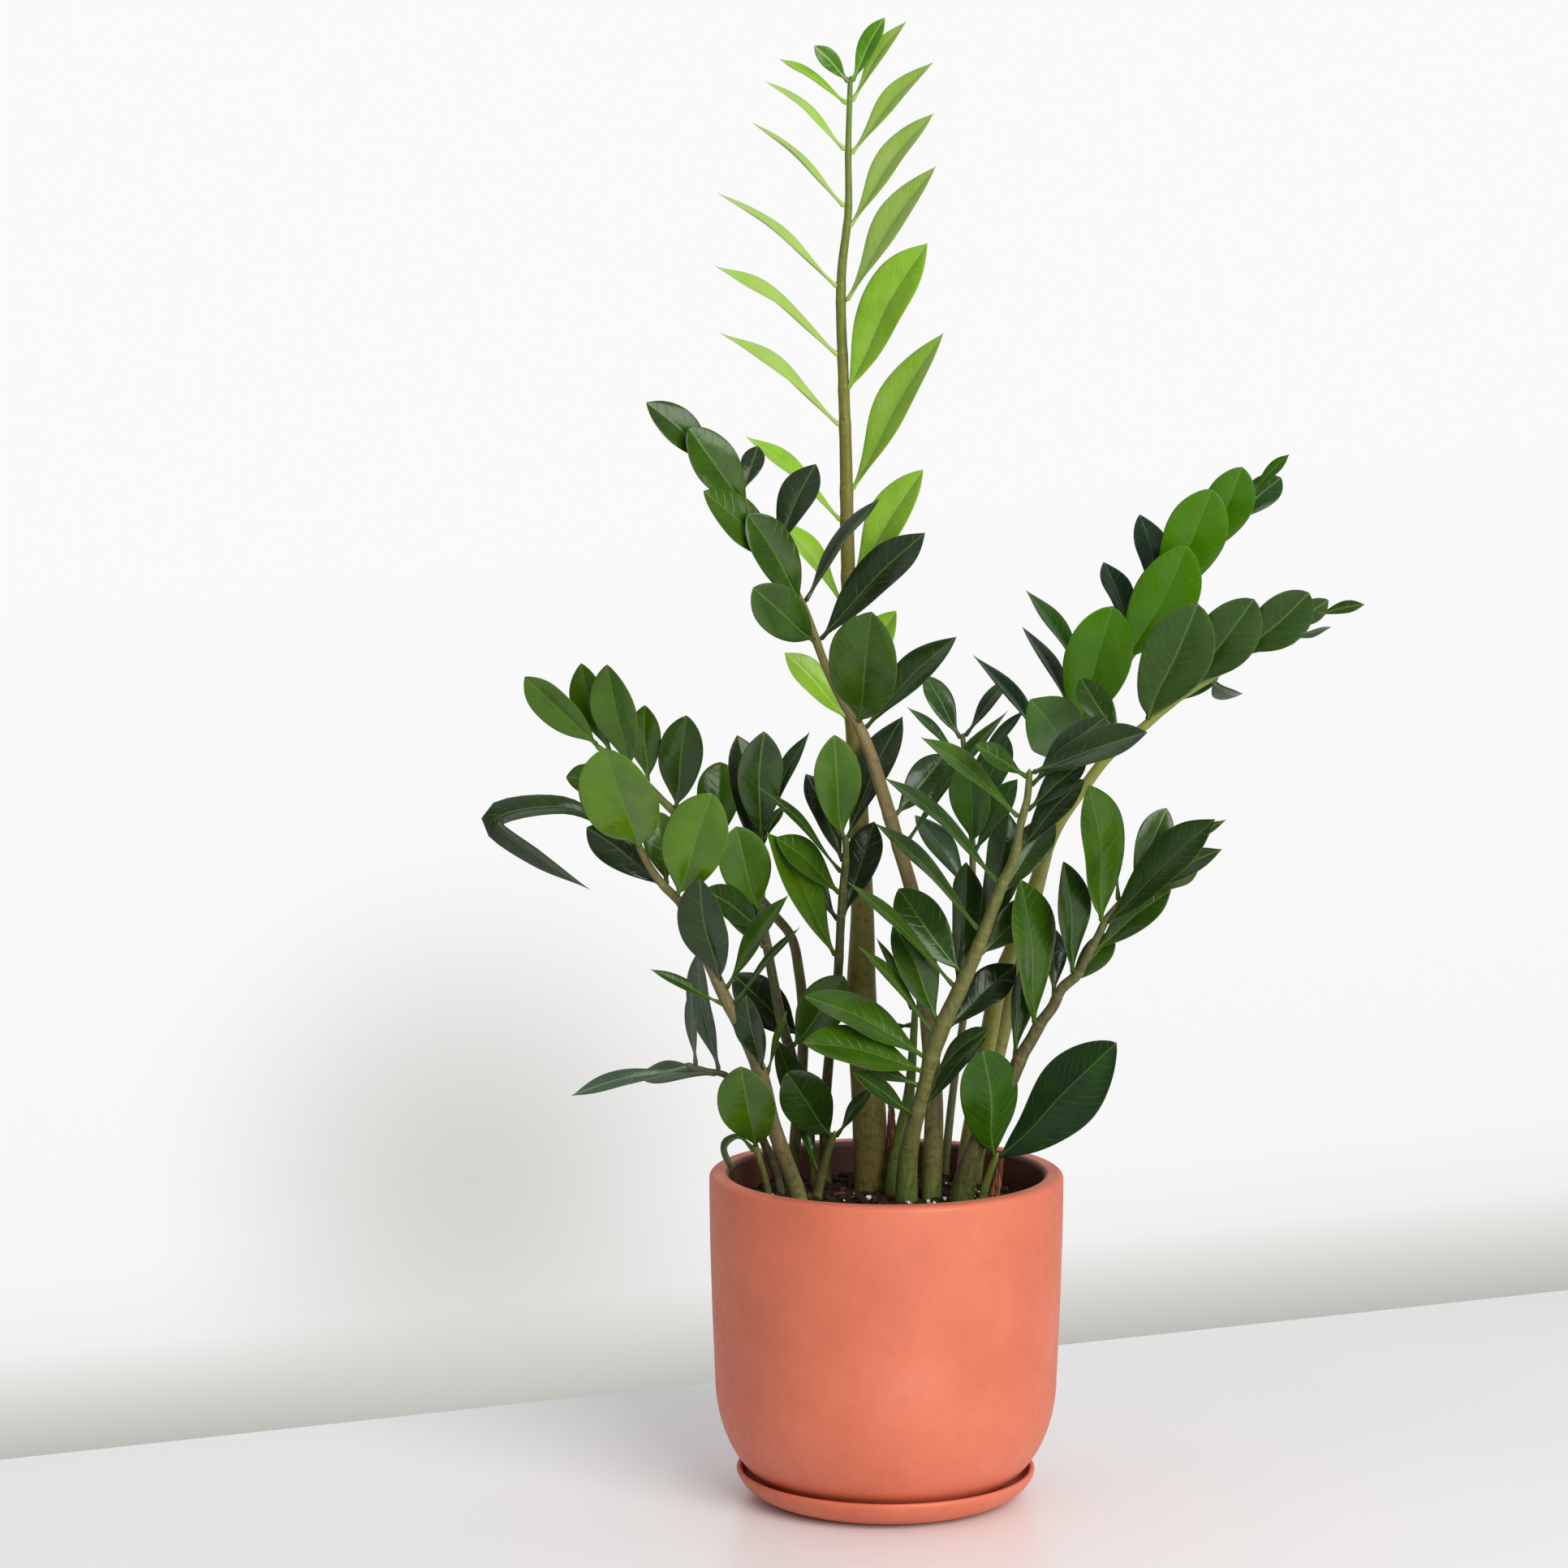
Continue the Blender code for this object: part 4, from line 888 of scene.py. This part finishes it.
stem = [
    (-47, 50, 153, 3.2), (-46, 50, 176, 3.1), (-43, 51, 206, 3), (-42, 51, 227, 2.8),
    (-44, 52, 261, 2.7), (-49, 52, 282, 2.5), (-57, 51, 292, 2.5), (-80, 48, 319, 2.3),
    (-103, 45, 342, 2.3), (-111, 44, 349, 2.1), (-125, 43, 363, 1.9), (-138, 41, 373, 1.7),
    (-149, 40, 382, 1.3),
]
left = [
    (229, -36, -24, 36, 24, 5, 1), (366, -36, 16, -3, 16, 5, 5), (376, -14, -4, 48, 21, 30, 5),
    (381, -36, -14, 37, 23, 25, 6),
]
right = [
    (328, 4, 12, 43, 24, 5, 5), (347, 7, -16, 51, 24, 5, 3), (361, 0, -12, 42, 18, 5, 4),
    (368, -10, -26, 57, 27, 30, 6),
]
skin = stem_skin("thin_olive_stem", "#5A6432", "#5E5A36", "#66742E", "#403C26")
plant_frond("back_left", 6, skin, MATURE_LEAF, stem, left, right)

# ---- Left upright frond ----
# A thin dark stem left of the middle with a dark leaflet at its top.

stem = [
    (-36, 38, 153, 2.8), (-42, 30, 193, 2.7), (-46, 25, 215, 2.7), (-53, 19, 241, 2.7),
    (-58, 13, 267, 2.5), (-61, 9, 285, 2.3), (-64, 4, 302, 2.1), (-63, 1, 315, 1.9),
    (-64, -3, 330, 1.7), (-64, -6, 344, 1.4),
]
left = [
    (281, -22, -4, 32, 17, 15, 4), (292, -30, -34, 24, 18, 30, 2), (302, -12, -26, 45, 27, 5, 6),
    (325, -12, 8, 65, 26, 30, 1), (340, 2, -20, 55, 25, 15, 2),
]
right = [(228, 28, -22, 40, 25, 10, 5), (336, 12, 5, 19, 7, 45, 3), (342, 25, -10, 52, 12, 50, 2)]
skin = stem_skin("thin_dark_stem", "#4C5228", "#464428", "#4C5826", "#322F18")
plant_frond("left_upright", 7, skin, MATURE_LEAF, stem, left, right)

# ---- Centre upright frond ----
# A thin stem in front of the tall one, with a bright leaflet at its top and a long
# olive one low down.

stem = [
    (-30, 45, 153, 2.8), (-31, 37, 187, 2.7), (-30, 32, 206, 2.7), (-29, 28, 219, 2.6),
    (-25, 18, 257, 2.5), (-24, 12, 275, 2.3), (-23, 4, 300, 2.1), (-22, 0, 315, 2),
    (-21, -4, 327, 1.8), (-21, -8, 341, 1.5),
]
left = [
    (276, -37, -30, 68, 24, 40, 6), (295, -26, 14, 31, 16, 40, 1), (310, -34, -20, 31, 19, 40, 5),
    (321, -43, -30, 47, 8, 55, 3), (326, -20, 4, 45, 19, 35, 1), (339, -6, -16, 54, 25, 10, 6),
]
right = [(297, 17, 12, 48, 20, 20, 1), (338, 29, 20, 61, 23, 40, 1)]
skin = stem_skin("thin_brown_stem", "#52582E", "#4C4A2E", "#58642E", "#36321C")
plant_frond("centre_upright", 8, skin, MATURE_LEAF, stem, left, right)

# ---- Front right frond ----
# Comes forward from the middle and leans right. Its stem swells at an old joint
# low down, and its left rank is narrow and seen on edge.

stem = [
    (10, -8, 153, 5.8), (11, -14, 180, 4.9), (15, -22, 202, 3.8), (19, -27, 219, 3.4),
    (22, -31, 233, 4.2), (28, -36, 251, 4.1), (35, -41, 267, 3.8), (42, -48, 285, 3.4),
    (50, -56, 308, 3), (55, -61, 323, 2.7), (61, -66, 338, 2.4), (63, -71, 353, 2),
    (66, -75, 366, 1.8), (67, -80, 382, 1.4),
]
left = [
    (201, -33, -28, 27, 14, 50, 3), (216, -35, -4, 12, 12, 50, 3), (224, -63, -30, 20, 27, 50, 5),
    (231, -64, -14, 34, 27, 55, 4), (243, -41, -16, 48, 11, 60, 4), (249, -25, -4, 52, 23, 25, 3),
    (268, -57, -20, 57, 14, 65, 4), (275, -33, 13, 42, 24, 10, 3), (298, -55, -18, 57, 18, 65, 3),
    (323, -59, -18, 55, 18, 65, 3), (357, -50, -14, 41, 18, 60, 5), (378, -27, -14, 17, 13, 40, 4),
]
right = [
    (203, 35, 4, 38, 14, 55, 2), (223, 30, -16, 26, 14, 50, 2), (246, 38, 14, 31, 20, 25, 1),
    (267, 4, 20, 62, 25, 40, 2), (285, 33, 10, 28, 18, 10, 3), (291, 16, 24, 63, 27, 35, 2),
    (315, 29, 18, 39, 19, 15, 2), (340, 33, -4, 36, 18, 40, 1), (361, 30, -6, 25, 15, 30, 1),
    (373, 39, 6, 34, 18, 45, 1), (380, 55, -24, 22, 24, 50, 2),
]
skin = stem_skin("jointed_stem", "#4A6626", "#66683A", "#5C6632", "#3E4024")
plant_frond("front_right", 9, skin, MATURE_LEAF, stem, left, right)

# ---- Lower right frond ----
# Short and strong, from a swollen foot, leaning right over the rim.

stem = [
    (38, -8, 153, 6.4), (44, -15, 182, 4.9), (53, -19, 202, 4.2), (62, -24, 219, 3.7),
    (67, -27, 232, 3.5), (72, -29, 241, 3.2), (76, -31, 249, 3), (82, -34, 258, 2.8),
    (86, -36, 267, 2.6), (94, -38, 275, 2.5), (98, -41, 284, 2.2), (104, -44, 296, 2),
    (107, -46, 303, 1.8), (116, -49, 315, 1.5), (122, -52, 327, 1.1),
]
left = [
    (229, 0, -4, 48, 17, 45, 2), (247, -11, -26, 78, 32, 45, 4), (262, -3, 14, 36, 15, 30, 2),
    (274, -8, -20, 60, 25, 45, 2), (301, -10, -24, 72, 32, 40, 4), (312, -6, 18, 45, 7, 60, 3),
    (322, 17, 4, 37, 18, 5, 3),
]
right = [
    (269, 24, 2, 26, 15, 5, 3), (287, 40, -2, 31, 18, 20, 3), (302, 51, -30, 55, 28, 50, 2),
    (313, 42, 34, 12, 15, 30, 4), (315, 48, 0, 24, 16, 45, 2), (326, 47, 26, 25, 10, 50, 1),
]
skin = stem_skin("swollen_stem", "#46562A", "#565234", "#525C2E", "#33311C")
plant_frond("lower_right", 10, skin, MATURE_LEAF, stem, left, right)

# ---- Low right sprig ----
# A short sprig by the right wall with two of the broadest leaflets.

DRY_EDGED_LEAF = waxy_leaf(
    "waxy_dry_edged_leaf", ("#1E3226", "#294C09", "#386604", "#467706"),
    "#506444", "#6E9440", "#5E3F1C", 0.18,
)
stem = [
    (48, -13, 153, 2.4), (52, -15, 170, 1.9), (56, -18, 181, 1.4),
]
left = [(178, -8, -22, 59, 32, 15, 4)]
right = [(178, 58, -30, 64, 40, 40, 2)]
skin = stem_skin("right_sprig_stem", "#66722E", "#5E6A2E", "#66762A", "#463F24")
plant_frond("low_right_sprig", 11, skin, DRY_EDGED_LEAF, stem, left, right, fold=-16.0)

# ---- Low left sprig ----
# A short sprig by the left wall: one leaflet upright, one curled over the rim.

stem = [
    (-59, -14, 153, 1.9), (-63, -19, 173, 1.7), (-67, -22, 187, 1.5),
]
left = [(182, -11, 12, -17, 9, 60, 4, ((-9, 2, 7), (-15, 7, 3)))]
right = [(185, -7, -36, 47, 30, 10, 5)]
skin = stem_skin("left_sprig_stem", "#565E2E", "#585C30", "#5E6C2E", "#3C3920")
plant_frond("low_left_sprig", 12, skin, MATURE_LEAF, stem, left, right)

# ---- Far left low frond ----
# A thin frond that runs out to the left, starved of light: its leaflets are narrow,
# limp and greying.

WITHERED_LEAF = waxy_leaf(
    "withered_leaf", ("#34493A", "#4C6046", "#6C7A5C", "#8A9274"),
    "#747C66", "#98A07E", "#938A68", 0.30,
)
stem = [
    (-54, 18, 153, 2.4), (-65, 8, 188, 2.1), (-73, 2, 208, 1.9), (-82, -3, 218, 1.6),
    (-92, -7, 221, 1.4), (-102, -10, 225, 1.2),
]
left = [(219, -42, 22, -5, 15, 50, 2), (224, -60, -10, -14, 11, 40, 2)]
right = [(219, -10, -8, 64, 20, 45, 2), (223, -1, -18, 44, 10, 45, 2)]
skin = stem_skin("starved_stem", "#54563A", "#484432", "#54563A", "#34301F")
plant_frond("far_left_low", 13, skin, WITHERED_LEAF, stem, left, right)

# ---- Low centre sprig ----
# A short sprig left of the middle with one round glossy leaflet.

stem = [
    (-35, 8, 153, 2.7), (-31, 3, 172, 2.1), (-26, -2, 189, 1.4),
]
left = [(163, -24, 10, 72, 20, 45, 3), (186, -24, -28, 38, 27, 10, 2)]
right = [(186, 20, -8, 27, 9, 40, 3)]
skin = stem_skin("centre_sprig_stem", "#56602E", "#585A32", "#5C6C2E", "#3E3B22")
plant_frond("low_centre_sprig", 14, skin, MATURE_LEAF, stem, left, right)

# ---- Frond behind the centre ----
# Rises at the back of the pot and shows only between the others.

GREYISH_LEAF = waxy_leaf(
    "waxy_shaded_leaf", ("#2E4430", "#365820", "#466E22", "#62863A"),
    "#606E58", "#6E8858", "#7E7F52", 0.26,
)
stem = [
    (32, 60, 153, 2.4), (34, 63, 175, 2.2), (38, 68, 208, 2), (43, 73, 241, 1.9),
    (46, 78, 266, 1.8), (47, 84, 299, 1.7), (47, 89, 324, 1.7), (44, 96, 358, 1.5),
    (42, 100, 382, 1.3),
]
left = [
    (300, -30, 12, 39, 19, 45, 2), (324, -4, -26, 50, 25, 30, 5), (367, -31, -10, 30, 8, 50, 2),
    (379, -20, 8, 33, 15, 20, 2),
]
right = [
    (320, 23, -10, 40, 17, 40, 3), (334, 20, 17.7, 46, 21, 30, 3), (356, 30, -10, 40, 9, 45, 2),
    (380, 25, 8, 31, 11, 45, 1),
]
skin = stem_skin("back_stem", "#5A623A", "#646442", "#66703A", "#44432A")
plant_frond("behind_centre", 15, skin, GREYISH_LEAF, stem, left, right)

# ---- Middle green stem ----
# A young thick stem in the middle with three small leaflets, mostly hidden.

stem = [
    (4, 12, 153, 4.8), (7, 16, 178, 3.9), (12, 20, 203, 2.9), (14, 18, 229, 2.1),
    (15, 16, 250, 1.5),
]
left = [(240, -18, 14, -6, 7, 35, 3), (248, -20, -4, 38, 6, 45, 4)]
right = [(246, 10, 20, 25, 13, 25, 3)]
skin = stem_skin("green_stem", "#5C7030", "#62782E", "#6A8632", "#44481F")
plant_frond("middle_green", 16, skin, MATURE_LEAF, stem, left, right)

# ---- Table, light and camera ----
# A white laminate table whose back edge runs off at a slant, a pale wall seen behind it,
# painted greyer towards the table's edge as shade and with a painted soft shadow of the
# plant, one broad window-like light from the right, and a weak fill.
# Lengths are metres here.

EDGE_LEFT = np.array([-0.46, 0.066])
EDGE_RIGHT = np.array([0.42, 0.45])
EYE = np.array([-0.052, -2.1, 0.594])
EYE_DROP = math.radians(6.2)
LENS = 96.3
SENSOR = 36.0
TABLE_SIDE = 3.0
TABLE_REACH = 5.0
TABLE_THICKNESS = 0.03

ahead = unit(EDGE_RIGHT - EDGE_LEFT)
forward = TABLE_REACH * np.array([ahead[1], -ahead[0]])
far_left, far_right = EDGE_LEFT - TABLE_SIDE * ahead, EDGE_RIGHT + TABLE_SIDE * ahead
corners = np.array([far_left + forward, far_right + forward, far_right, far_left])
slab = np.vstack([np.c_[corners, np.full(4, -TABLE_THICKNESS)], np.c_[corners, np.zeros(4)]]) / MM
slab_faces = np.array(
    [(3, 2, 1, 0), (4, 5, 6, 7), (0, 1, 5, 4), (1, 2, 6, 5), (2, 3, 7, 6), (3, 0, 4, 7)]
)
# Satin laminate: nearly white, with a blurred reflection of what stands on it.
laminate, add, shader = new_material("white_laminate")
place = add("TexCoord", give="Object")
haze = add("TexNoise", {"Vector": place, "Scale": 1 / 0.35, "Detail": 2.0})
white = add("ValToRGB", {0: haze}, [(0.35, "#F2F2F4"), (0.65, "#F5F5F7")])
set_sockets(shader, {"Base Color": white, "Roughness": 0.28})
table = new_piece("table_top", slab, (slab_faces, np.empty((0, 3), int)), laminate)
table.data.shade_flat()

world = bpy.data.worlds.new("bright_room")
scene = bpy.context.scene
scene.world = world
world.use_nodes = True
world.cycles.sampling_method = "NONE"
world.node_tree.nodes.clear()
add = partial(add_node, world.node_tree)
heading = add("TexCoord", give="Generated")
edge_plane = np.cross(np.append(EDGE_RIGHT, 0.0) - EYE, np.append(EDGE_LEFT, 0.0) - EYE)
over_edge = {0: heading, 1: tuple(unit(edge_plane).tolist())}
rise = add("VectorMath", over_edge, give="Value", operation="DOT_PRODUCT")
risen = add("MapRange", {0: rise, 1: 0.0, 2: 0.20})
# Painted shade: the backdrop's greys darken towards the table's edge, where wall meets table.
greys = ("#BEBCB6", "#D6D5D1", "#F0F0EF", "#F7F7F7", "#FAFAFA")
wall = add("ValToRGB", {0: risen}, zip((0.0, 0.055, 0.12, 0.22, 1.0), greys))
# Painted shadow: a soft grey patch round one heading stands for the plant's shadow on the wall.
shade_at = {0: heading, 1: tuple(unit(np.array([-0.075, 1.0, -0.205])).tolist())}
apart = add("VectorMath", shade_at, give="Value", operation="DISTANCE")
shade = {0: apart, 1: 0.085, 2: 0.0, 3: 0.0, 4: 0.85}
soft = add("MapRange", shade, interpolation_type="SMOOTHSTEP")
seen = add("Mix", {0: soft, 6: wall, 7: linear("#CFCDC9")}, give=2, data_type="RGBA")
backdrop = add("Background", {"Color": seen, "Strength": 1.0})
back, up = add("SeparateXYZ", {0: heading}, give=slice(1, 3))
room = add("MapRange", {0: back, 1: -0.25, 2: 0.75, 3: 0.11, 4: 0.58})
lamps = {0: up, 1: 0.45, 2: 0.85, 3: 0.0, 4: 0.50}
ceiling = add("MapRange", lamps, interpolation_type="SMOOTHSTEP")
light = add("Math", {0: room, 1: ceiling}, operation="ADD")
glow = add("Background", {"Color": linear("#FFFFFF"), "Strength": light})
to_eye = add("LightPath", give="Is Camera Ray")
both = add("MixShader", {0: to_eye, 1: glow, 2: backdrop})
add("OutputWorld", {"Surface": both})


def soft_light(name, place, aim, width, power, colour):
    """A square panel of light that faces its aim."""
    lamp = bpy.data.lights.new(name, "AREA")
    lamp.shape = "SQUARE"
    lamp.size = width
    lamp.energy = power
    lamp.color = linear(colour)[:3]
    panel = bpy.data.objects.new(name, lamp)
    panel.location = place
    back = np.array(place) - np.array(aim)
    tilt = math.acos(back[2] / np.linalg.norm(back))
    panel.rotation_euler = (tilt, 0.0, math.atan2(back[1], back[0]) + 0.5 * math.pi)
    scene.collection.objects.link(panel)


soft_light("window_light", (1.6, -2.6, 1.6), (0.0, 0.0, 0.3), 2.3, 114.0, "#FFFDF8")
soft_light("fill_light", (-1.5, -1.2, 0.9), (0.0, 0.0, 0.3), 1.2, 2.5, "#F8FBFF")

camera = bpy.data.cameras.new("camera")
camera.lens = LENS
camera.sensor_width = SENSOR
eye = bpy.data.objects.new("camera", camera)
eye.location = EYE
eye.rotation_euler = (0.5 * math.pi - EYE_DROP, 0.0, 0.0)
scene.collection.objects.link(eye)
scene.camera = eye
scene.view_settings.view_transform = "Standard"
